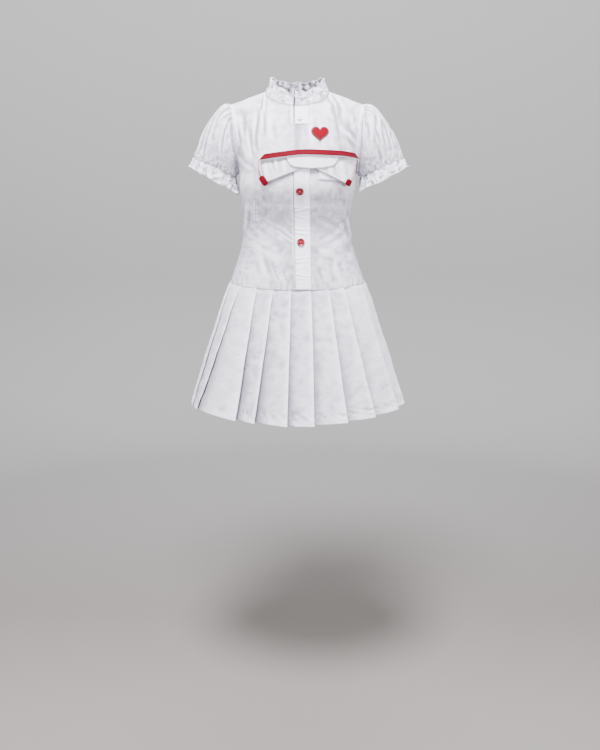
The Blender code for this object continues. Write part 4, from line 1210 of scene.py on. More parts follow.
def panel_turns(levels, side):
    """The columns of a panel by row, packed along its darts, slit and side edges."""
    columns = PANEL_COUNTS[side][0]
    dart = dart_turns(levels, side)
    usual = float(np.median(dart[levels < 1]))
    spots = [-1, -usual, usual, 1]
    if side < 0:
        spots.append(SLIT_TURN)
    even = spaced(-1, 1, columns, spots, 0.012, 5.0)
    if side < 0:
        even[np.argmin(np.abs(even - SLIT_TURN))] = SLIT_TURN
    fade = np.clip((1.25 - levels) / 0.25, 0, 1)
    dart = mix(usual, dart, fade)
    anchors = [-1, -usual, -0.25, 0.25, usual, 1]
    turns = [np.interp(even, anchors, [-1, -spot, -0.25, 0.25, spot, 1]) for spot in dart]
    return np.array(turns)


def panel_levels(side):
    _, low, high = PANEL_COUNTS[side]
    lower = spaced(0, 1, low, [0.0, 0.02], 0.012, 2.5)
    upper = spaced(1, 2, high, [2.0], 0.03, 1.5)
    return np.concatenate((lower, upper[1:]))


def dart_groove(grid, side):
    """A sharp groove with small puckers beside it, along both darts."""
    stops = sorted(DARTS[side])
    line = np.interp(grid[..., 2], [stop.z for stop in stops], [stop.x for stop in stops])
    aside = np.abs(grid[..., 0]) - line
    top = max(stop.z for stop in stops)
    fade = np.clip((top - grid[..., 2]) / 0.02, 0, 1)
    groove = -DART_DEPTH * bell(aside, DART_WIDTH)
    pucker = 0.00016 * np.sin(grid[..., 2] * 2 * pi / 0.011 + 2 * np.sin(grid[..., 2] * 90)) * bell(aside, 0.006)
    return (groove + pucker) * fade


def edge_roll(grid, side):
    """How far the cloth turns in towards its seams."""
    across = run_along(grid, 1)
    sides = np.minimum(across, across[:, -1:] - across)
    up = run_along(grid, 0)
    roll = -0.0004 * bell(sides, 0.0016) * (grid[..., 2] < CHEST)
    waist = -0.0010 * bell(up, 0.0026)
    stitched = -0.0003 * bell(up - 0.0052, 0.0014)
    reach = np.abs(grid[..., 0])
    shoulder = -0.0008 * bell(up[-1:] - up, 0.0026) * (reach > NECK_HALF)
    return roll + waist + stitched + shoulder


def waist_puckers(grid, side):
    """Short upright puckers that the gathered waist seam pulls into the cloth."""
    up = run_along(grid, 0)
    across = grid[..., 0]
    wave = np.sin(across * 2 * pi / 0.0125 + 2.0 * np.sin(across * 21 + side)) * (0.7 + 0.4 * np.sin(across * 37 + 2))
    return 0.00055 * wave * bell(up, 0.012) * np.clip(up / 0.003, 0, 1)


def still_under_trim(grid):
    """Where the flap and the front band lie on the cloth, which stays smoother there."""
    x, z = grid[..., 0], grid[..., 2]
    flap = ((x > -0.088) & (x < 0.134) & (z < -0.143) & (z > -0.208)).astype(float)
    flap *= (z > -0.205 + 0.028 * np.clip(1 - np.abs(x - 0.022) / 0.1, 0, 1)).astype(float)
    drift = BAND_DRIFT * (1 - (z - BAND["foot"]) / (BAND["top"] - BAND["foot"]))
    band = (x > BAND["left"] + drift) & (x < BAND["right"] + drift) & (z < BAND["top"])
    tab = (x > TAB["left"]) & (x < TAB["right"]) & (z > TAB["foot"])
    return softened(np.maximum(flap, np.maximum(band, tab) * 0.6), 3)


def panel_grid(side):
    """A bodice panel with its folds, creases, darts, rolled seams and crinkle."""
    settings = bpy.context.scene.dress_cotton
    levels = panel_levels(side)
    turns = panel_turns(levels, side)
    if side > 0:
        turns = turns[:, ::-1]
    smooth = bend(panel_surface(turns, levels[:, None], side), LARGE_FOLDS[side])
    x, z = smooth[..., 0], smooth[..., 2]
    lift = 1.15 * crease_lift(x, z, FRONT_CREASES if side < 0 else BACK_CREASES)
    lift += settings.crinkle * 0.6 * crinkled(smooth, settings.crinkle_size, 3 + side)
    lift += settings.crinkle * 1.0 * speckle(smooth, settings.crinkle_size * 3.4, 9 + side, 2)
    if side < 0:
        lift *= 1 - 0.85 * still_under_trim(smooth)
    lift += dart_groove(smooth, side) + edge_roll(smooth, side) + waist_puckers(smooth, side)
    return smooth + outward(smooth) * lift[..., None]


def flap_shade(grid):
    """Painted shadow on the cloth just below the feet of the flap's wings."""
    foot = np.concatenate((wing_places(-1)[0], wing_places(1)[0]))
    below = np.interp(grid[..., 0], foot[:, 0], foot[:, 1]) - grid[..., 2] - 0.0020
    inside = (grid[..., 0] > WING_CORNER[-1][0]) & (grid[..., 0] < WING_CORNER[1][0])
    return FLAP_SHADE * inside * bell(below, 0.0034)


def slit_sheet(name, grid, finish):
    """The front panel, cut along one column from its top edge down to the slit's foot."""
    rows, columns = grid.shape[:2]
    levels = panel_levels(-1)
    turns = panel_turns(levels, -1)
    column = int(np.argmin(np.abs(turns[-1] - SLIT_TURN)))
    foot_row = int(np.argmin(np.abs(grid[:, column, 2] - SLIT_FOOT)))
    places = cloth_map(grid, False).reshape(-1, 2)
    near = np.arange(foot_row + 1, rows) * columns + column
    share = np.zeros(rows)
    share[foot_row + 1 :] = np.linspace(0.5, 1.0, len(near))
    aside = grid[..., 0] - grid[:, column, 0][:, None]
    parted = SLIT_HALF * share[:, None] * np.exp(-np.abs(aside) / SLIT_EASE)
    vertices = grid.copy()
    vertices[..., 0] += np.where(np.arange(columns)[None, :] > column, parted, -parted)
    vertices = vertices.reshape(-1, 3)
    far = vertices[near].copy()
    far[:, 0] += 2 * SLIT_HALF * share[foot_row + 1 :]
    twin = dict(zip(near.tolist(), range(len(vertices), len(vertices) + len(near))))
    faces = []
    for index, face in enumerate(grid_faces(rows, columns, False).tolist()):
        beyond = index % (columns - 1) >= column
        faces.append([twin.get(corner, corner) if beyond else corner for corner in face])
    vertices = np.concatenate((vertices, far))
    places = np.concatenate((places, places[near]))
    made = mesh_object(name, vertices, faces, places, finish, rows, columns)
    made["slit_column"] = column
    across = run_along(grid, 1)
    sides = np.minimum(across, across[:, -1:] - across)
    # Painted light and shade for the colour: light along the armhole edges above the chest line, shadow below the
    # flap's wings, light in a band just under the bust, and shade over the waist, darker towards the wearer's left; the
    # speckle below the chest line is random mottle
    light = SEAM_LIGHT * bell(sides, 0.0045) * (grid[..., 2] > CHEST) - flap_shade(grid)
    waist = np.clip((-0.175 - grid[..., 2]) / 0.03, 0, 1)
    light += 0.13 * bell(grid[..., 2] + 0.210, 0.034) - waist * (0.16 + 0.05 * np.clip(grid[..., 0] / 0.03, 0, 1))
    light += 0.10 * speckle(grid, 0.010, 71) * (grid[..., 2] < CHEST)
    tone = np.clip(relief(grid) + light, 0, 1).ravel()
    # Painted highlight along the slit's folded edge, and painted shadow on the slit's far edge
    for step in range(1, 5):
        tone[near - step] = 1.0
    add_attribute(made, "relief", "FLOAT", np.concatenate((tone, 0 * tone[near])))
    return made


# Collar and sleeves


def collar_base(front, back, column):
    """The neckline's points from the slit round to it again, on the finished panels."""
    top_turns = panel_turns(panel_levels(-1), -1)[-1]
    neck = np.abs(top_turns) <= NECK_SHARE
    left = [front[-1, index] for index in range(column + 1, front.shape[1]) if neck[index]]
    right = [front[-1, index] for index in range(column) if neck[index]]
    back_turns = panel_turns(panel_levels(1), 1)[-1]
    rear = [back[-1, index] for index in range(back.shape[1]) if abs(back_turns[index]) < NECK_SHARE - 0.02]
    rear = sorted(rear, key=lambda point: -point[0])
    end = front[-1, column]
    start = end + np.array((2 * SLIT_HALF, 0, 0))
    return np.array([start, *left, *rear, *right, end])


def collar_rings(neckline):
    """The smooth stand of the collar as rings from its base up, and which way is out."""
    share = np.linspace(0, 1, COLLAR_COLUMNS + 1)
    base = along(neckline, share)
    swing = np.arctan2(base[:, 0] / NECK_HALF, -base[:, 1] / NECK_DEPTH[-1])
    front = np.cos(swing) > 0
    depth = np.where(front, COLLAR_TOP_DEPTH[-1], COLLAR_TOP_DEPTH[1])
    drop = np.where(front, COLLAR_TOP_DROP[-1], COLLAR_TOP_DROP[1])
    top_z = COLLAR_TOP_SIDE - drop * np.abs(np.cos(swing))
    top = points(COLLAR_TOP_HALF * np.sin(swing), -depth * np.cos(swing), top_z)
    aside = points(np.sin(swing), -np.cos(swing), 0.0)
    base = base - aside * SEAM_GAP
    base[:, 2] += SEAM_GAP
    rows = np.linspace(0, 1, COLLAR_ROWS + 1)
    grid = mix(base[None], top[None], rows[:, None, None])
    return grid, aside, 2 * pi * share, rows


def ruffled_sheet(name, grid, away, phase, rows, ruffle, crush, waves, crush_depth, crush_size, seed, wrap):
    """A smooth sheet waved by the ruffle tree, and its final grid."""
    made = sheet_mesh(name, grid, cotton_material(), wrap)
    full = np.broadcast_to
    size = grid.shape[:2]
    depth, lift = (read(ruffle, "share", label, rows)[:, None] for label in ("depth", "lift"))
    fields = {"phase": phase[None, :], "depth": depth, "lift": lift, "crush": crush[:, None]}
    for label, field in fields.items():
        add_attribute(made, label, "FLOAT", full(field, size))
    add_attribute(made, "away", "FLOAT_VECTOR", full(away[None], (*size, 3)))
    values = {"Waves": waves, "Crush": crush_depth, "Crush size": crush_size, "Seed": seed, "Cotton": cotton_material()}
    made = worked(made, ruffle_tree(), values)
    for label in (*fields, "away", "relief"):
        layer = made.data.attributes.get(label)
        if layer:
            made.data.attributes.remove(layer)
    final = grid_of(name)
    # Random mottle, and painted shade along the seam at the first rows
    flecks_and_seam_shade = 0.38 * speckle(final, 0.0045, int(seed) + 81) + 0.32 * speckle(final, 0.011, int(seed) + 83)
    flecks_and_seam_shade -= 0.5 * bell(rows, 0.08)[:, None]
    add_attribute(made, "relief", "FLOAT", np.clip(relief(final, wrap, RUFFLE_DEPTH) + flecks_and_seam_shade, 0, 1))
    return made


def oval_point(ring, angle):
    """A ring round the arm: angle 0 lies at the body, a quarter turn at the front."""
    x = ring.x - ring.half_x * np.cos(angle)
    z = ring.z - ring.half_z * np.cos(angle)
    return points(x, -ring.half_depth * np.sin(angle), z)


def armhole_ring(front_edge, back_edge, angle):
    """The armhole's points by angle, from its front and back edges, each given foot to tip."""
    front = along(front_edge, np.clip(angle / pi, 0, 1))
    back = along(back_edge, np.clip(2 - angle / pi, 0, 1))
    return np.where((angle <= pi)[:, None], front, back)


def sleeve_rings(front_edge, back_edge):
    """The puff sleeve's smooth form as the wearer's left one: row 0 lies at the armhole."""
    angle = np.linspace(0, 2 * pi, SLEEVE_COLUMNS + 1)[:-1]
    up = (1 - np.cos(angle)) / 2
    forward = np.sin(angle)
    armhole = armhole_ring(front_edge, back_edge, angle)
    armhole[:, 0] += SEAM_GAP + SLEEVE_FOOT_EASE * (1 - up) ** 2
    armhole[:, 2] += SEAM_GAP * up
    cuff = oval_point(ELASTIC, angle)
    from_armhole = points(mix(0.005, 0.030, up), -0.026 * forward, mix(-0.004, 0.016, up))
    to_cuff = points(mix(-0.003, -0.021, up), -0.015 * forward, mix(0.006, 0.057, up))
    corners = tuple(corner[None] for corner in (armhole, armhole + from_armhole, cuff + to_cuff, cuff))
    shares = spaced(0, 1, SLEEVE_ROWS, [0.0, 1.0], 0.05, 1.6)
    grid = bezier(corners, np.broadcast_to(shares[:, None], (len(shares), len(angle))))
    away = grid - np.array(SLEEVE_MIDDLE)
    away /= np.linalg.norm(away, axis=-1, keepdims=True)
    fade = np.sin(np.clip(shares, 0, 1) * pi) ** 0.6
    gather = np.cos(CAP_FOLDS * angle) * up * CAP_FOLD_HEIGHT
    return grid, away, fade[:, None] * gather[None, :], angle, shares


def pucker_lift(grid, angle, shares, puckers):
    """How far a sleeve's folds lift it; each runs straight over the cloth from one place to another."""
    lift = np.zeros(grid.shape[:2])
    across = np.linalg.norm(np.roll(grid, -1, axis=1) - grid, axis=-1)
    around = across.sum(axis=1) / (2 * pi)
    length = run_along(grid, 0)[-1].mean()
    for pucker in puckers:
        run_x = (pucker.angle_end - pucker.angle) * np.interp(pucker.share_end, shares, around)
        run_y = (pucker.share_end - pucker.share) * length
        reach = np.hypot(run_x, run_y)
        x = (angle[None, :] - pucker.angle) * around[:, None]
        y = (shares[:, None] - pucker.share) * length
        place = (x * run_x + y * run_y) / reach**2
        inside = np.clip(place, 0, 1)
        aside = (x * run_y - y * run_x) / reach
        beyond = (place - inside) * reach
        taper = (0.35 + 0.65 * np.sin(pi * inside) ** 0.7) * bell(beyond, PUCKER_FADE)
        lift += pucker.height * taper * ridge(aside, pucker.width)
    return lift


def sleeve_grid(front_edge, back_edge, side):
    """A finished sleeve: cap folds, crushed gathers above the elastic and a pinch at it."""
    cotton = bpy.context.scene.dress_cotton
    ruffles = bpy.context.scene.dress_ruffles
    smooth, away, cap, angle, shares = sleeve_rings(front_edge, back_edge)
    smooth = smooth + away * (cap * 0.22)[..., None]
    smooth[..., 0] += CUFF_PULL[side] * shares[:, None]
    down = run_along(smooth, 0)
    left = down[-1:] - down
    seed = {"left": 1.3, "right": 4.1}[side]
    phase = ruffles.gathers * angle[None, :] + 3.0 * speckle(smooth, 0.016, seed + 7) + left * 90
    patchy = 0.55 + 0.6 * speckle(smooth, 0.030, seed + 11, 1)
    gathers = ruffles.gather_height * np.cos(phase) * patchy * np.exp(-((left / 0.013) ** 1.3))
    crumple = 0.0019 * crinkled(smooth, 0.0105, seed + 2) * np.exp(-((left / 0.020) ** 1.5))
    pinch = -0.0010 * (0.6 + 0.5 * slow_wave(angle, 9, seed))[None, :] * bell(left, 0.0040)
    head = slow_wave(angle, 17, seed + 2)[None, :] * 0.0007 * np.exp(-((down / 0.010) ** 1.5))
    head = head * (1 - np.cos(angle))[None, :] / 2
    lift = pucker_lift(smooth, angle, shares, SLEEVE_PUCKERS[side]) + gathers + crumple + pinch + head
    lift += cotton.crinkle * 1.1 * crinkled(smooth, cotton.crinkle_size * 0.8, seed)
    lift += cotton.crinkle * 1.2 * speckle(smooth, cotton.crinkle_size * 2.6, seed + 3, 2)
    calm = np.clip(down / 0.004, 0, 1) * np.clip(left / 0.002, 0.3, 1)
    lift = np.where(lift > 0, lift * calm, lift * (0.3 + 0.7 * calm))
    lift += 0.0011 * bell(down - 0.0024, 0.0016)
    return (smooth + outward(smooth[::-1], True)[::-1] * lift[..., None])[::-1]


def frill_rings():
    """The frill's smooth cone from its hem up, and which way is out."""
    angle = np.linspace(0, 2 * pi, FRILL_COLUMNS + 1)[:-1]
    start = oval_point(ELASTIC, angle)
    end = oval_point(FRILL_HEM, angle)
    drop = np.array((FRILL_HEM.x - ELASTIC.x, 0.0, FRILL_HEM.z - ELASTIC.z))
    start = start + drop / np.linalg.norm(drop) * FRILL_GAP
    slope = ELASTIC.half_z / ELASTIC.half_x
    aside = points(-np.cos(angle), -np.sin(angle), -slope * np.cos(angle))
    rows = np.linspace(1, 0, FRILL_ROWS + 1)
    grid = mix(start[None], end[None], rows[:, None, None])
    return grid, aside, angle, rows


def mirrored(grid):
    """The wearer's right twin of a piece, still facing out."""
    twin = grid[:, ::-1].copy()
    twin[..., 0] *= -1
    return twin


# Skirt


def hem_height(x):
    """The hem lies lowest in the middle, as the waist seam does."""
    return HEM + HEM_RISE * np.abs(x / HEM_HALF) ** HEM_CURVE


def skirt_halves(fall):
    """The ring at a fall as its front and back lines, with the length of each."""
    ring = {name: float(read(SKIRT, "fall", name, fall)) for name in Ring._fields[1:]}
    halves = []
    for side in (-1, 1):
        turn = np.linspace(-1, 1, LINE_POINTS) * (-side)
        x, y = oval(turn, ring["squareness"])
        line = points(ring["half_width"] * x, side * ring["front" if side < 0 else "back"] * y, 0.0)
        run = run_along(line, 0)
        halves.append((line, run / run[-1], run[-1]))
    return halves, ring["fold_depth"]


def ring_points(halves, place):
    """Points of a ring and the ways ahead, at places in pleats from the right side."""
    place = place % PLEATS
    half = PLEATS / 2
    share = (place % half) / half
    spot, ahead = np.zeros((len(place), 2)), np.zeros((len(place), 2))
    for chosen, (line, run, _) in zip((place < half, place >= half), halves):
        tangent = np.gradient(line, axis=0)
        for axis in range(2):
            spot[chosen, axis] = np.interp(share[chosen], run, line[:, axis])
            ahead[chosen, axis] = np.interp(share[chosen], run, tangent[:, axis])
    return spot, ahead / np.linalg.norm(ahead, axis=1, keepdims=True)


def fold_place(pleat, fall):
    """Where a pleat's outer fold lies round the skirt, in pleats."""
    shift = PLEATS_LAID[pleat]
    return pleat + mix(shift.waist, shift.hem, fall)


def pleat_depth(pleat, fall, depth):
    """How deep a pleat's face starts; all are alike at the waist."""
    return depth * mix(1.0, PLEATS_LAID[pleat].deep, fall**0.5)


def pleat_line(first, last, fall, pitch, depth):
    """The folded cloth at one fall, from one panel end to the other: place, depth, part and painted light and shade."""
    under = UNDERLAY / pitch
    half_layer = LAYER / 2
    arc = np.linspace(0, pi, FOLD_STEPS + 2)[1:-1]
    inner = np.linspace(0, pi, INNER_STEPS + 2)[1:-1]
    face = np.linspace(0, 1, FACE_STEPS + 1)
    face_depth = read(PLEAT_FACE, "share", "depth", face)
    back = np.linspace(0, 1, UNDER_STEPS + 1)
    line = []

    def add(place, deep, part, tone=0.0):
        line.append(points(place, deep, part, tone))

    start = fold_place(first, fall)
    middle = start - under / 2 - SEAM_GAP / 2 / pitch
    deep = pleat_depth(first + 1, fall, depth)
    add(np.linspace(middle, start - under, 3), np.linspace(deep / 2, deep - LAYER, 3), 1)
    for pleat in range(first + 1, last + 1):
        before, edge = fold_place(pleat - 1, fall), fold_place(pleat, fall)
        hidden = before - under
        deep = pleat_depth(pleat, fall, depth)
        add(hidden - np.sin(inner) * half_layer / pitch, deep - LAYER + (1 - np.cos(inner)) * half_layer, 1)
        place = mix(hidden, edge, face)
        shown = (place - before) / (edge - before)
        # Painted shadow just past the fold before, fading over the face, and painted highlight towards this face's own
        # fold; the fold itself is painted light
        shade = FOLD_SHADE * fall**0.4 * np.exp(-np.abs(shown) / mix(0.09, 0.16, fall))
        shade += FOLD_DUSK * fall * np.exp(-np.abs(shown) / 0.35)
        tone = (FOLD_LIGHT * np.exp(-np.abs(1 - shown) / 0.08) - shade) * np.clip(fall / 0.07, 0, 1)
        add(place, deep * face_depth, 0, tone)
        add(edge + np.sin(arc) * half_layer / pitch, (1 - np.cos(arc)) * half_layer, 0, FOLD_LIGHT)
        stop = 1.0 if pleat < last else 0.5
        length = under - (0 if pleat < last else -SEAM_GAP / pitch)
        share = back * stop
        ahead = pleat_depth(min(pleat + 1, PLEATS), fall, depth)
        add(edge - share * length, LAYER + share * (ahead - 2 * LAYER), 1)
    return np.concatenate(line).T


def skirt_grid(first, last):
    """The pleats from one edge to another, from the hem up, and their painted light and shade beside the folds."""
    cotton = bpy.context.scene.dress_cotton
    falls = spaced(0, 1, SKIRT_ROWS, [0.0, 1.0], 0.04, 1.6)
    rows = []
    for fall in falls:
        halves, depth = skirt_halves(fall)
        pitch = (halves[0][2] + halves[1][2]) / PLEATS
        place, inward, under, tone = pleat_line(first, last, fall, pitch, depth)
        spot, ahead = ring_points(halves, place)
        x = spot[:, 0] - ahead[:, 1] * inward
        y = spot[:, 1] + ahead[:, 0] * inward
        waist = seam_height(np.clip(np.abs(x), 0, HIP_HALF)) - WAIST_GAP
        line = points(x, y, mix(waist, hem_height(x), fall))
        rows.append(np.concatenate((line, ahead, under[:, None], tone[:, None]), axis=1))
    rows = np.array(rows)[::-1]
    grid, ahead, under, tone = rows[..., :3], rows[..., 3:5], rows[..., 5], rows[..., 6]
    fall = falls[::-1][:, None]
    out = points(ahead[..., 1], -ahead[..., 0], 0.0)
    x, z = grid[..., 0], grid[..., 2]
    front = grid[..., 1] < 0
    lift = crease_lift(x, z, SKIRT_CREASES) * front
    lift += cotton.crinkle * 1.2 * crinkled(grid, cotton.crinkle_size * 1.1, 17 + first)
    lift += cotton.crinkle * 1.6 * fall * speckle(grid, 0.055, 21 + first, 2)
    lift *= 1 - 0.8 * under
    hem_stitch = np.abs(z - hem_height(x) - 0.020)
    pull = bell(hem_stitch, 0.008)
    lift += 0.0013 * pull * np.sin(run_along(grid, 1) * 2 * pi / 0.011 + 3 * np.sin(x * 40))
    lift -= 0.0004 * bell(hem_stitch, 0.0016)
    waist_run = run_along(grid, 0)
    down = waist_run[-1:] - waist_run
    lift -= 0.0009 * bell(down, 0.0026)
    lift -= 0.0003 * bell(down - 0.0042, 0.0014)
    # The skirt painted darker all over, random mottle, and painted light along the hem, itself mottled
    tone = tone - SKIRT_PAINTED_SHADE + 0.13 * speckle(grid, 0.009, 61 + first) + 0.12 * speckle(grid, 0.028, 63 + first)
    tone += HEM_LIGHT * np.clip(1.5 - (z - hem_height(x)) / 0.014, 0, 1) * (1 + 0.8 * speckle(grid, 0.008, 67 + first))
    return grid + out * lift[..., None], tone


# Trim


class Front:
    """The front of the bodice, to lay trim on."""

    def __init__(self):
        self.fine = facing(grid_of("dress_bodice_front"))
        levels = np.linspace(0, 2, 141)
        turns = np.linspace(-1, 1, 101)
        smooth = bend(panel_surface(turns[None, :], levels[:, None], -1), LARGE_FOLDS[-1])
        self.smooth = facing(smooth)

    def spot(self, x, z, tree):
        found = tree.ray_cast(Vector((x, -1.0, z)), Vector((0, 1, 0)))[0]
        if found is None:
            raise RuntimeError(f"no cloth behind x {x:.4f}, z {z:.4f}")
        return found

    def laid(self, places, lift, follow=1.0):
        """Lays a grid of (x, z) places on the front, moved out by a lift."""
        size = places.shape[:2]
        fine, smooth = np.zeros((*size, 3)), np.zeros((*size, 3))
        for index in np.ndindex(size):
            x, z = places[index]
            fine[index] = self.spot(x, z, self.fine)
            smooth[index] = self.spot(x, z, self.smooth)
        normal = softened(outward(smooth), 6)
        normal /= np.linalg.norm(normal, axis=-1, keepdims=True)
        base = mix(smooth, fine, follow)
        return base + normal * np.broadcast_to(lift, size)[..., None]


def spread(columns, rows, low=0, high=1):
    """The shares across and up of a grid of places."""
    return np.linspace(low, high, columns + 1)[None, :], np.linspace(low, high, rows + 1)[:, None]


def flat_patch(left, right, foot, top, columns, rows):
    """A grid of places between four sides, each given as a function of its share."""
    across, up = spread(columns, rows)
    return points(mix(left(up), right(up), across), mix(foot(across), top(across), up))


def box_places(box, columns, rows, slope=0.0, drift=0.0):
    """The places of an upright patch, sloping across and drifting sideways towards its foot."""
    return flat_patch(
        lambda up: box["left"] + drift * (1 - up),
        lambda up: box["right"] + drift * (1 - up),
        lambda across: box["foot"] + slope * across,
        lambda across: box["top"] + slope * across,
        columns,
        rows,
    )


def soft_edges(places, width, depth):
    """How far a folded edge drops at the rim of a patch."""
    flat = np.concatenate((places, np.zeros((*places.shape[:2], 1))), axis=-1)
    across, up = run_along(flat, 1), run_along(flat, 0)
    rim = np.minimum(np.minimum(across, across[:, -1:] - across), np.minimum(up, up[-1:] - up))
    return -depth * bell(rim, width)


def flap_line(x):
    return read(FLAP_LINE, "x", "z", x)


def strip_places(width, drop, start, end, columns, rows, inset):
    """A strip along the flap's line, moved down by a drop, its upper corners cut back by an inset."""
    share = np.linspace(0, 1, columns + 1)[None, :]
    up = np.linspace(-0.5, 0.5, rows + 1)[:, None]
    middle = (start + end) / 2
    reach = mix(start, end, share) - middle
    x = middle + reach * (1 - (up + 0.5) * 2 * inset / (end - start))
    z = flap_line(x) - drop + up * width
    return points(x, z)


def wing_edge(side, up):
    """The wing's outer edge, from its corner up to the band."""
    outer_x, _ = WING_OUTER[side]
    corner_x, _ = WING_CORNER[side]
    return mix(corner_x, outer_x, up) + side * WING_BULGE * np.sin(pi * up)


def wing_places(side):
    """A wing from the flap's centre to its slanted outer edge."""
    outer_x, outer_z = WING_OUTER[side]
    corner_x, corner_z = WING_CORNER[side]
    seam = FLAP_CENTRE + side * SEAM_GAP / 2
    out, up = spread(WING_COLUMNS, WING_ROWS)
    x = mix(seam, wing_edge(side, up), out)
    flat = abs(WING_FLAT[side] - seam) / abs(corner_x - seam)
    foot = mix(WING_FOOT, corner_z, np.clip((out - flat) / (1 - flat), 0, 1))
    line = flap_line(mix(seam, outer_x, out)) - FLAP_BAND_DROP
    top = mix(line, outer_z, np.clip(out * 4 - 3, 0, 1))
    grid = points(x, mix(foot, top, up))
    return grid if side > 0 else grid[:, ::-1]


def wing_lift(side):
    """The wing hangs free, so it stands off more towards its foot and its outer edge."""
    out, up = spread(WING_COLUMNS, WING_ROWS)
    flare = WING_FLARE[side] * mix(1.0, FLAP_TOP_FLARE, up) * out**3
    lift = TRIM_BASE + WING_STAND * (1 - up) + flare
    return lift if side > 0 else lift[:, ::-1]


def band_shade(places):
    """Painted shadow on the wings just below the band."""
    foot = flap_line(places[..., 0]) - FLAP_BAND_DROP - FLAP_BAND_WIDTH / 2
    return FLAP_SHADE * bell(foot - places[..., 1] - 0.0008, 0.0022)


def flap_stand(places):
    """How far the band stands off with the wings' flaring top edges."""
    side = np.sign(places[..., 0] - FLAP_CENTRE)
    reach = np.where(side < 0, WING_OUTER[-1][0], WING_OUTER[1][0]) - FLAP_CENTRE
    flare = np.where(side < 0, WING_FLARE[-1], WING_FLARE[1])
    out = np.clip((places[..., 0] - FLAP_CENTRE) / reach, 0, 1.05)
    return flare * FLAP_TOP_FLARE * out**3


def tab_places(columns, rows):
    """The tab under the band, its foot curved and its lower corners cut off."""
    across, up = spread(columns, rows)
    shares = [foot.share for foot in TAB_FOOT]
    foot_x = np.interp(across, shares, [foot.x for foot in TAB_FOOT])
    foot_z = np.interp(across, shares, [foot.z for foot in TAB_FOOT])
    x = mix(foot_x, mix(TAB_TOP[0], TAB_TOP[1], across), up)
    top = flap_line(mix(TAB_TOP[0], TAB_TOP[1], across)) - FLAP_BAND_DROP
    return points(x, mix(foot_z, top, up))


def tip_places(side, columns, rows):
    """A red tip folded over a wing's outer corner: a small leaning patch with round corners."""
    tip = TIPS[side]
    across, up = spread(columns, rows, -1, 1)
    wide = across * np.sqrt(1 - up**2 * TIP_ROUND / 2) * tip.half_short
    long = up * np.sqrt(1 - across**2 * TIP_ROUND / 2) * tip.half_long
    x = tip.x + wide * cos(tip.lean) - long * sin(tip.lean)
    z = tip.z + wide * sin(tip.lean) + long * cos(tip.lean)
    return points(x, z)


def flat_speckle(places, size, seed):
    return speckle(np.pad(places, ((0, 0), (0, 0), (0, 1))), size, seed)


def band_lean(places):
    """The band stands away from the wings towards its foot."""
    drop = flap_line(places[..., 0]) + RIBBON_WIDTH / 2 - places[..., 1]
    return BAND_LEAN * np.clip(drop / FLAP_BAND_WIDTH, 0, 1)


def heart_outline():
    """The heart's edge about its middle, as (x, z) places."""
    angle = np.linspace(0, 2 * pi, HEART_POINTS + 1)[:-1]
    x = np.sin(angle) ** 3
    z = (13 * np.cos(angle) - 5 * np.cos(2 * angle) - 2 * np.cos(3 * angle) - np.cos(4 * angle)) / 17
    return np.stack((x, z), axis=-1) * HEART["half"]


def turned_button(name, base, normal, radius, thickness, holes, finish):
    """A turned button with a rolled rim, a sunken middle and real holes."""
    profile = (
        *((0.0, 0.72), (0.30, 0.72), (0.50, 0.70), (0.60, 0.68), (0.68, 0.84), (0.76, 0.97), (0.84, 1.00)),
        *((0.92, 0.94), (0.98, 0.78), (1.00, 0.55), (0.98, 0.32), (0.90, 0.10), (0.80, 0.02), (0.0, 0.00)),
    )
    work = bmesh.new()
    steps = 64
    rings = []
    for reach, height in profile:
        if reach == 0.0:
            rings.append([work.verts.new((0, 0, height * thickness))])
            continue
        ring = []
        for step in range(steps):
            angle = 2 * pi * step / steps
            ring.append(work.verts.new((radius * reach * cos(angle), radius * reach * sin(angle), height * thickness)))
        rings.append(ring)
    for lower, upper in zip(rings[:-1], rings[1:]):
        for step in range(steps):
            corners = ((lower, step), (upper, step), (upper, step + 1), (lower, step + 1))
            work.faces.new(list(dict.fromkeys(ring[place % len(ring)] for ring, place in corners)))
    bmesh.ops.recalc_face_normals(work, faces=work.faces)
    mesh = bpy.data.meshes.new(name)
    work.to_mesh(mesh)
    work.free()
    made = bpy.data.objects.new(name, mesh)
    bpy.context.scene.collection.objects.link(made)
    drill = bpy.data.meshes.new(name + "_drill")
    work = bmesh.new()
    for turn in range(holes):
        angle = 2 * pi * (turn + 0.5) / holes
        spot = Vector((cos(angle), sin(angle), 0)) * radius * 0.25
        made_ring = bmesh.ops.create_cone(
            work, cap_ends=True, segments=16, radius1=radius * 0.07, radius2=radius * 0.07, depth=thickness * 4
        )
        bmesh.ops.translate(work, verts=made_ring["verts"], vec=spot)
    work.to_mesh(drill)
    work.free()
    cutter = bpy.data.objects.new(name + "_drill", drill)
    bpy.context.scene.collection.objects.link(cutter)
    cut = made.modifiers.new("Holes", "BOOLEAN")
    cut.operation = "DIFFERENCE"
    cut.solver = "EXACT"
    cut.object = cutter
    made = baked(made, "Holes")
    bpy.data.objects.remove(cutter)
    turn = Vector(normal).to_track_quat("Z", "Y").to_matrix().to_4x4()
    turn.translation = Vector(base)
    made.data.transform(turn)
    made.data.materials.clear()
    made.data.materials.append(finish)
    made.data.shade_smooth()
    made.data.set_sharp_from_angle(angle=radians(40))
    return made


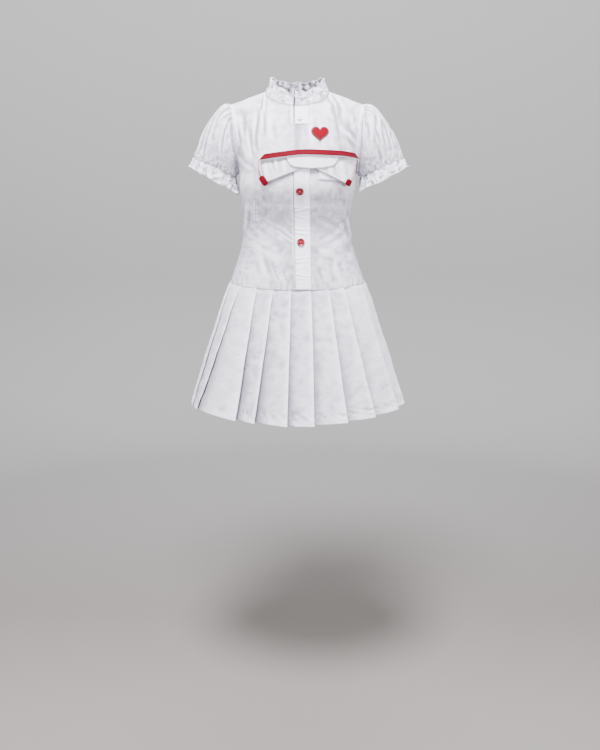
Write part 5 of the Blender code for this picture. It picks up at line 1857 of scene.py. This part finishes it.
def thread_loops(name, base, normal, radius, thickness, thread):
    """The crossed thread that holds a four-hole button."""
    normal = np.array(normal)
    side = np.cross(normal, (0.0, 0.0, 1.0))
    side /= np.linalg.norm(side)
    upward = np.cross(side, normal)
    lines = []
    for turn in range(2):
        angle = pi / 4 + turn * pi / 2
        way = side * cos(angle) + upward * sin(angle)
        for aside in (-0.028, 0.028):
            across = np.cross(normal, way)
            share = np.linspace(-1, 1, 9)[:, None]
            middle = np.array(base) + normal * (thickness * (0.72 + 0.10 * turn) + 0.0003) + across * radius * aside
            arch = normal * (1 - share**2) * thickness * 0.16
            line = middle + way * share * radius * 0.26 + arch
            lines.append((line, np.repeat(normal[None], len(line), axis=0)))
    return stitch_rows(name, lines, thread, length=radius * 0.16, width=radius * 0.085, pitch=radius * 0.062, lift=0.0)


def heart_mesh(name, rings, finish):
    """A patch from rings about its middle, the first of them the smallest, closed at the centre."""
    count, steps = rings.shape[:2]
    vertices = np.concatenate((rings.reshape(-1, 3), rings[0].mean(axis=0)[None]))
    faces = grid_faces(count, steps, True).tolist()
    faces.extend([(step + 1) % steps, step, count * steps] for step in range(steps))
    return mesh_object(name, vertices, faces, vertices[:, (0, 2)], finish, count, steps)


def satin_lines(patch):
    """Short lines across the heart's edge, close together, for its satin border."""
    shares = np.linspace(0, 1, SATIN_LINES + 1)[:-1]
    lines = []
    for outer, inner in zip(along(patch[-1], shares), along(patch[-3], shares)):
        way = inner - outer
        way *= SATIN_HALF / max(np.linalg.norm(way), 1e-9)
        lines.append((np.array([outer - way, outer + way]), np.tile((0.0, -1.0, 0.0), (2, 1))))
    return lines


# Finishing pieces


def tie(made, node, slot):
    """Attaches a piece to the body's root and hides the packed part of its node; the slot is not used."""
    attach(made, "root")
    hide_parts(node)


def finish_sheet(made, node, flat, held, rests_on=(), area=None, sewn=(), slot="white_cotton", wall=CLOTH, offset=-1.0):
    """Gives a sheet its wall, on the inner side unless given another offset, attaches it to the body and hides the
    packed part of its node; flat, held, rests_on, area, sewn and slot are not used.
    """
    solid = made.modifiers.new("Wall", "SOLIDIFY")
    solid.thickness = wall
    solid.offset = offset
    solid.use_even_offset = False
    solid.use_quality_normals = True
    tie(made, node, slot)
    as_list(rests_on)
    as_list(sewn)


def trim_sheet(name, grid, lines, flat, painted_light_and_mottle, node=None, area=None, rows=None):
    """A piece of white trim laid on the front, with its rows of stitches."""
    made = sheet_mesh("dress_" + name, grid, cotton_material(), painted_light_and_mottle=painted_light_and_mottle)
    sewn = stitch_rows("stitches_" + (rows or name), lines, white_thread())
    finish_sheet(made, node or name, flat, "laid", ["dress_bodice_front"], area, [sewn], wall=TRIM_CLOTH)


# Operators


class DRESS_OT_bodice(bpy.types.Operator):
    """Makes the two bodice panels with their folds, darts and seam stitching."""

    bl_idname = "dress.bodice"
    bl_label = "Bodice"

    def execute(self, context):
        cotton = cotton_material()
        front, back = panel_grid(-1), panel_grid(1)
        panels = (slit_sheet("dress_bodice_front", front, cotton), sheet_mesh("dress_bodice_back", back, cotton))
        for made, side, grid, area in zip(panels, (-1, 1), (front, back), (0.168, 0.160)):
            node = made.name.removeprefix("dress_")
            span = (PANEL_COUNTS[side][1] / (len(grid) - 1), 0.985)
            lines = [row_line(grid, 0.0052), *(column_line(grid, 0.0035, end, span) for end in (False, True))]
            sewn = stitch_rows("stitches_" + node, lines, white_thread())
            finish_sheet(made, node, (0.46, 0.49), "draped", area=area, sewn=[sewn])
        return {"FINISHED"}


class DRESS_OT_collar(bpy.types.Operator):
    """Makes the ruffled stand collar on the neckline."""

    bl_idname = "dress.collar"
    bl_label = "Collar"

    def execute(self, context):
        ruffles = context.scene.dress_ruffles
        column = bpy.data.objects["dress_bodice_front"]["slit_column"]
        rings = collar_rings(collar_base(*map(grid_of, BODICE), column))
        rows = rings[-1]
        crush = np.clip(rows / 0.25, 0, 1) * (0.55 + 0.45 * rows) * (1 - 0.75 * bell(rows - 0.46, 0.07))
        made = ruffled_sheet(
            "dress_collar", *rings, COLLAR_RUFFLE, crush, ruffles.collar_waves, ruffles.collar_crush, 0.0150, 2.0, False
        )
        final = grid_of("dress_collar")
        lines = [row_line(final, 0.0030, True), row_line(final, 0.0022)]
        sewn = stitch_rows("stitches_collar", lines, white_thread(), length=0.0018, pitch=0.0028)
        finish_sheet(made, "collar", (0.46, 0.040), "gathered", BODICE, sewn=[sewn])
        return {"FINISHED"}


class DRESS_OT_sleeves(bpy.types.Operator):
    """Makes both puff sleeves and the frills below their elastic."""

    bl_idname = "dress.sleeves"
    bl_label = "Sleeves"

    def execute(self, context):
        ruffles = context.scene.dress_ruffles
        front, back = map(grid_of, BODICE)
        front, back = front[PANEL_COUNTS[-1][1] :], back[PANEL_COUNTS[1][1] :]
        for side, column, flip in (("left", -1, 1), ("right", 0, -1)):
            grid = sleeve_grid(front[:, column] * (flip, 1, 1), back[:, -1 - column] * (flip, 1, 1), side)
            frill, away, angle, rows = frill_rings()
            frill[..., 0] += CUFF_PULL[side]
            frill[..., 2] += FRILL_RISE[side] * rows[:, None] * np.clip(np.cos(angle), 0, 1)
            if side == "right":
                grid, frill = mirrored(grid), mirrored(frill)
                away = away[::-1] * (-1, 1, 1)
                angle = angle[::-1]
            down = run_along(grid, 0)
            left = down[-1:] - down
            # Painted light and shade for the colour: light along the armhole seam with shade just below it, light by
            # the elastic and on the inner side above it, and the sleeve painted darker all over; the speckles are
            # random mottle
            light = SEAM_LIGHT * bell(left, 0.0035) - SEAM_SHADE * bell(left - 0.0085, 0.0035)
            light += CUFF_LIGHT * bell(down, 0.022)
            ends = np.exp(-down / 0.020) + np.exp(-left / 0.030)
            light += 0.12 * speckle(grid, 0.010, 73) + 0.30 * ends * speckle(grid, 0.0055, 77) - SLEEVE_PAINTED_SHADE
            light += 0.22 * np.clip((0.175 - np.abs(grid[..., 0])) / 0.02, 0, 1) * bell(down, 0.060)
            sleeve = sheet_mesh("dress_sleeve_" + side, grid, cotton_material(), True, painted_light_and_mottle=light, depth=SLEEVE_DEPTH)
            form = (frill, away, angle, rows, FRILL_RUFFLE, 0.35 + 0.65 * rows)
            crushed = (ruffles.frill_waves, ruffles.frill_crush, 0.0082, FRILL_SEED[side])
            made = ruffled_sheet("dress_sleeve_frill_" + side, *form, *crushed, True)
            lines = [row_line(grid, distance, wrap=True) for distance in (0.0012, 0.0055)]
            sewn = stitch_rows("stitches_sleeve_" + side, lines, white_thread(), length=0.0018, pitch=0.0026)
            finish_sheet(sleeve, "sleeve_" + side, (0.45, 0.18), "gathered", BODICE, 0.042, [sewn])
            lines = [row_line(grid_of(made.name), 0.0050, wrap=True)]
            hem = stitch_rows("stitches_frill_" + side, lines, white_thread(), length=0.0018, pitch=0.0028)
            finish_sheet(made, "sleeve_frill_" + side, (0.46, 0.035), "gathered", [sleeve.name], sewn=[hem])
        return {"FINISHED"}


class DRESS_OT_skirt(bpy.types.Operator):
    """Makes the knife-pleated skirt in two panels, with its hem and its stitched head."""

    bl_idname = "dress.skirt"
    bl_label = "Skirt"

    def execute(self, context):
        half = PLEATS // 2
        for node, first, last, width in (("skirt_front", 0, half, 1.30), ("skirt_back", half, PLEATS, 1.23)):
            grid, tone = skirt_grid(first, last)
            made = sheet_mesh("dress_" + node, grid, cotton_material(), painted_light_and_mottle=tone, depth=SKIRT_DEPTH)
            outer = grid + outward(grid) * (SKIRT_CLOTH / 2)
            lines = [row_line(outer, 0.020), row_line(outer, 0.0040, True)]
            sewn = stitch_rows("stitches_" + node, lines, white_thread())
            area = width * 0.272
            finish_sheet(made, node, (width, 0.32), "hung", BODICE, area, [sewn], wall=SKIRT_CLOTH, offset=0.0)
        return {"FINISHED"}


class DRESS_OT_placket(bpy.types.Operator):
    """Makes the front band, the neck tab and their buttons."""

    bl_idname = "dress.placket"
    bl_label = "Front band and buttons"

    def execute(self, context):
        front = Front()
        places = box_places(BAND, 22, 170, drift=BAND_DRIFT)
        puckers = 0
        for index, height in enumerate(BAND_PUCKERS):
            slant = 0.30 * np.sin(2.4 * index) * (places[..., 0] - BAND["left"])
            swell = 0.0017 * (0.55 + 0.45 * sin(1.7 * index))
            puckers = puckers + swell * ridge(places[..., 1] - height - slant, 0.0021)
        share = np.linspace(0, 1, places.shape[1])[None, :]
        puckers = puckers * (0.35 + 0.65 * (1 - share) ** 1.5)
        band = front.laid(places, TRIM_BASE + 0.0003 + puckers + soft_edges(places, 0.0012, 0.0006))
        lines = [column_line(band, 0.0022), column_line(band, 0.0046), column_line(band, 0.0022, True)]
        # The band is painted light all over
        trim_sheet("placket_band", band, [*lines, row_line(band, 0.0018)], (0.0358, 0.285), 1.0, rows="placket")
        places = box_places(TAB, 26, 34)
        up = np.linspace(0, 1, places.shape[0])[:, None]
        lift = TRIM_BASE + (SEAM_GAP + 0.0005) * np.minimum(up * 3, 1) + soft_edges(places, 0.0016, 0.0007)
        tab = front.laid(places, lift)
        lines = [column_line(tab, 0.0024), column_line(tab, 0.0024, True), row_line(tab, 0.0024)]
        # The tab is painted light
        trim_sheet("neck_tab", tab, lines, (0.032, 0.0478), 0.9, "neck_placket_tab")
        above = TRIM_BASE + 2 * SEAM_GAP + 0.0006
        red = ("red_button", button_material("Red button", tuple(context.scene.dress_trim.button)), pink_thread())
        white = ("white_button", button_material("White button", (0.80, 0.80, 0.84)), white_thread())
        for node, spot, size, lift, (slot, finish, thread) in (
            ("button_upper", BUTTON_UPPER, BUTTON_SIZE, above, red),
            ("button_lower", BUTTON_LOWER, BUTTON_SIZE, above, red),
            ("neck_button", NECK_BUTTON, NECK_BUTTON_SIZE, above + 2 * SEAM_GAP, white),
        ):
            ring = np.array([[(spot[0] + x, spot[1] + z) for x in BUTTON_REACH] for z in BUTTON_REACH])
            normal = outward(front.laid(ring, 0.0, 0.0))[1, 1]
            base = front.laid(ring, lift)[1, 1]
            made = turned_button("dress_" + node, base, normal, *size, 4, finish)
            thread_loops("thread_" + node, base, normal, *size, thread)
            tie(made, node, slot)
        return {"FINISHED"}


class DRESS_OT_flap(bpy.types.Operator):
    """Makes the chest flap: two wings, the pointed tab, the band, the ribbon and the red tips."""

    bl_idname = "dress.flap"
    bl_label = "Chest flap"

    def execute(self, context):
        front = Front()
        for side, name in ((-1, "right"), (1, "left")):
            wing = "dress_flap_wing_" + name
            places = wing_places(side)
            lift = wing_lift(side) + crease_lift(places[..., 0], places[..., 1], WING_CREASES)
            lift = lift + 0.00035 * flat_speckle(places, 0.018, 31 + side) + soft_edges(places, 0.0012, 0.0004) + 0.0004
            grid = front.laid(places, lift, 0.4)
            # The wing is painted light, with painted shadow along its foot and just below the band
            made = sheet_mesh(wing, grid, cotton_material(), painted_light_and_mottle=0.3 + edge_shade(grid) - band_shade(places))
            lines = [column_line(grid, distance, side > 0) for distance in (0.0020, 0.0082)]
            size = {"length": 0.0032, "width": 0.0024, "pitch": 0.0035}
            edge = stitch_rows("stitches_wing_edge_" + name, lines, pink_thread(), **size)
            lines = [row_line(grid, distance) for distance in (0.0022, 0.0060)]
            sewn = stitch_rows("stitches_wing_" + name, lines, white_thread())
            width, length, share = {-1: (0.118, 0.059, 0.70), 1: (0.142, 0.066, 0.68)}[side]
            cut = ((width, length), "hung", ["dress_bodice_front"], width * length * share)
            finish_sheet(made, "flap_wing_" + name, *cut, [sewn, edge], wall=TRIM_CLOTH)
            lift = TRIM_BASE + WING_STAND + WING_FLARE[side] + TRIM_CLOTH + SEAM_GAP + 0.0006
            places = tip_places(side, 14, 14)
            grid = front.laid(places, lift + soft_edges(places, 0.0010, 0.0005), 0.4)
            made = sheet_mesh("dress_flap_tip_" + name, grid, ribbon_material())
            flat = {-1: (0.0245, 0.0140), 1: (0.0185, 0.0155)}[side]
            finish_sheet(made, "flap_tip_" + name, flat, "laid", [wing], slot="red_ribbon", wall=TRIM_CLOTH)
        places = tab_places(84, 26)
        up = np.linspace(0, 1, places.shape[0])[:, None]
        lift = TRIM_BASE + TRIM_CLOTH + TRIM_LIFT + WING_STAND * (1 - up) + FLAP_EASE
        lift = lift + 0.0006 + soft_edges(places, 0.0012, 0.0005)
        tab = front.laid(places, lift + 0.0003 * flat_speckle(places, 0.016, 41), 0.3)
        lines = [row_line(tab, 0.0032, span=(0.03, 0.97)), column_line(tab, 0.0030), column_line(tab, 0.0030, True)]
        # The tab is painted light, with painted shadow along its foot
        trim_sheet("flap_tab", tab, lines, (0.130, 0.034), 0.5 + 0.7 * edge_shade(tab), area=0.0034)
        lift = TRIM_BASE + 2 * (TRIM_CLOTH + TRIM_LIFT) + FLAP_EASE + SEAM_GAP + 0.0006
        first, last = FLAP_LINE[0].x, FLAP_LINE[-1].x
        ends = (first - BAND_OVERHANG, last + BAND_OVERHANG)
        places = strip_places(FLAP_BAND_WIDTH, FLAP_BAND_DROP, *ends, 110, 10, RIBBON_INSET)
        stand = lift + band_lean(places) + flap_stand(places)
        band = front.laid(places, stand + soft_edges(places, 0.0010, 0.0004), 0.3)
        # The band is painted light, with painted shadow along its foot
        trim_sheet("flap_band", band, [row_line(band, 0.0016)], (0.243, 0.0136), 1.0 + 1.2 * edge_shade(band))
        places = strip_places(RIBBON_WIDTH, 0.0, first, last, 130, 10, RIBBON_INSET)
        lift = lift + TRIM_CLOTH + 3 * SEAM_GAP + band_lean(places) + flap_stand(places)
        ribbon = front.laid(places, lift + soft_edges(places, 0.0008, 0.0003), 0.3)
        made = sheet_mesh("dress_flap_ribbon", ribbon, ribbon_material())
        lines = [row_line(ribbon, distance) for distance in (0.0040, 0.0064)]
        thread = thread_material("Ribbon thread", (0.25, 0.005, 0.020))
        sewn = stitch_rows("stitches_flap_ribbon", lines, thread, length=0.0022, width=0.0007, pitch=0.0034)
        cut = ((0.240, 0.0123), "laid", ["dress_flap_band"], 0.00265)
        finish_sheet(made, "flap_ribbon", *cut, [sewn], "red_ribbon", TRIM_CLOTH)
        return {"FINISHED"}


class DRESS_OT_pocket_patch(bpy.types.Operator):
    """Makes the pocket welt and the red heart patch."""

    bl_idname = "dress.pocket_patch"
    bl_label = "Pocket welt and patch"

    def execute(self, context):
        front = Front()
        places = box_places(WELT, 36, 20, WELT["slope"])
        welt = front.laid(places, TRIM_BASE + 0.0005 + soft_edges(places, 0.0014, 0.0006))
        lines = [row_line(welt, 0.0022), column_line(welt, 0.0022), column_line(welt, 0.0022, True)]
        # The welt is painted light, with painted shadow along its foot
        trim_sheet("pocket_welt", welt, lines, (0.058, 0.0207), 0.8 + edge_shade(welt))
        outline = heart_outline()
        closed = np.concatenate((outline, outline[:1]))
        shares = np.linspace(0.05, 1.0, HEART_RINGS)[:, None]
        centre = np.array((HEART["x"], HEART["z"] + HEART_RISE))
        places = centre + (closed[None] + np.array((0, -HEART_RISE))) * shares[..., None]
        patch = front.laid(places, TRIM_BASE + 0.0010 * (1 - shares**4))
        made = heart_mesh("dress_heart_patch", patch[:, :-1], patch_material())
        size = {"length": 0.0024, "width": 0.00062, "pitch": 0.0024, "lift": 0.0002}
        sewn = stitch_rows("stitches_heart", satin_lines(patch), red_thread(), **size)
        cut = ((0.036, 0.035), "laid", ["dress_bodice_front"], 0.00078)
        finish_sheet(made, "heart_patch", *cut, [sewn], "red_patch", TRIM_CLOTH)
        return {"FINISHED"}


class DRESS_OT_stage(bpy.types.Operator):
    """Makes the round cove, the lights and the camera."""

    bl_idname = "dress.stage"
    bl_label = "Stage"

    def execute(self, context):
        settings = context.scene.dress_stage
        corner = COVE_REACH - COVE_CORNER
        turns = np.linspace(0, pi / 2, 14)[1:]
        curve = [(corner + COVE_CORNER * sin(turn), FLOOR + COVE_CORNER * (1 - cos(turn))) for turn in turns]
        profile = [(0.0005, FLOOR), (1.0, FLOOR), (corner, FLOOR), *curve, (COVE_REACH, FLOOR + COVE_HEIGHT)]
        angle = np.linspace(0, 2 * pi, 97)[:-1]
        grid = np.array([points(reach * np.cos(angle), reach * np.sin(angle), height) for reach, height in profile])
        sheet_mesh("stage_cove", grid, cove_material(), True)
        side = settings.side_power
        for name, place, aim, size, power in (
            ("key", (-0.22, -1.25, 1.95), (0, 0, -0.35), 0.9, settings.key_power),
            ("side", (1.6, -2.0, -0.1), (0, 0, -0.25), 1.2, side),
            ("far_side", (-1.8, -1.8, -0.5), (0, 0, -0.22), 1.2, side * 0.5),
            ("back_wall", (0.0, 1.0, 2.4), (0, 2.8, 0.2), 1.8, side * 1.15),
        ):
            lamp = bpy.data.lights.new("stage_" + name, "AREA")
            lamp.shape = "DISK"
            lamp.size = size
            lamp.energy = power
            lamp.color = LIGHT_TINT
            made = bpy.data.objects.new("stage_" + name, lamp)
            made.location = place
            made.rotation_mode = "QUATERNION"
            made.rotation_quaternion = (Vector(aim) - Vector(place)).to_track_quat("-Z", "Y")
            context.scene.collection.objects.link(made)
        world = bpy.data.worlds.new("Even sky")
        world.use_nodes = True
        sky = world.node_tree.nodes["Background"].inputs
        sky["Color"].default_value = (*LIGHT_TINT, 1)
        sky["Strength"].default_value = settings.sky
        context.scene.world = world
        lens = bpy.data.cameras.new("camera")
        lens.sensor_width = CAMERA_SENSOR
        lens.lens = CAMERA_LENS
        camera = bpy.data.objects.new("camera", lens)
        camera.location = CAMERA_PLACE
        camera.rotation_euler = (radians(90 - CAMERA_TILT), 0, 0)
        context.scene.collection.objects.link(camera)
        context.scene.camera = camera
        return {"FINISHED"}


OPERATORS = (
    DRESS_OT_bodice,
    DRESS_OT_collar,
    DRESS_OT_sleeves,
    DRESS_OT_skirt,
    DRESS_OT_placket,
    DRESS_OT_flap,
    DRESS_OT_pocket_patch,
    DRESS_OT_stage,
)
SETTINGS = {
    "dress_cotton": CottonSettings,
    "dress_ruffles": RuffleSettings,
    "dress_stitches": StitchSettings,
    "dress_trim": TrimSettings,
    "dress_stage": StageSettings,
}


class DRESS_PT_panel(bpy.types.Panel):
    """Lists the pieces and their settings."""

    bl_idname = "DRESS_PT_panel"
    bl_label = "Nurse dress"
    bl_space_type = "VIEW_3D"
    bl_region_type = "UI"
    bl_category = "Nurse dress"

    def draw(self, context):
        layout = self.layout
        for name, group in SETTINGS.items():
            box = layout.box()
            settings = getattr(context.scene, name)
            for label in group.__annotations__:
                box.prop(settings, label)
        for operator in OPERATORS:
            layout.operator(operator.bl_idname)


def register():
    for group in SETTINGS.values():
        bpy.utils.register_class(group)
    for name, group in SETTINGS.items():
        setattr(bpy.types.Scene, name, PointerProperty(type=group))
    for operator in OPERATORS:
        bpy.utils.register_class(operator)
    bpy.utils.register_class(DRESS_PT_panel)


def unregister():
    bpy.utils.unregister_class(DRESS_PT_panel)
    for operator in reversed(OPERATORS):
        bpy.utils.unregister_class(operator)
    for name, group in SETTINGS.items():
        delattr(bpy.types.Scene, name)
        bpy.utils.unregister_class(group)


def main():
    register()
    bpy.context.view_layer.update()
    for operator in OPERATORS:
        piece = operator.bl_idname.split(".")[1]
        getattr(bpy.ops.dress, piece)()


if __name__ == "__main__":
    main()
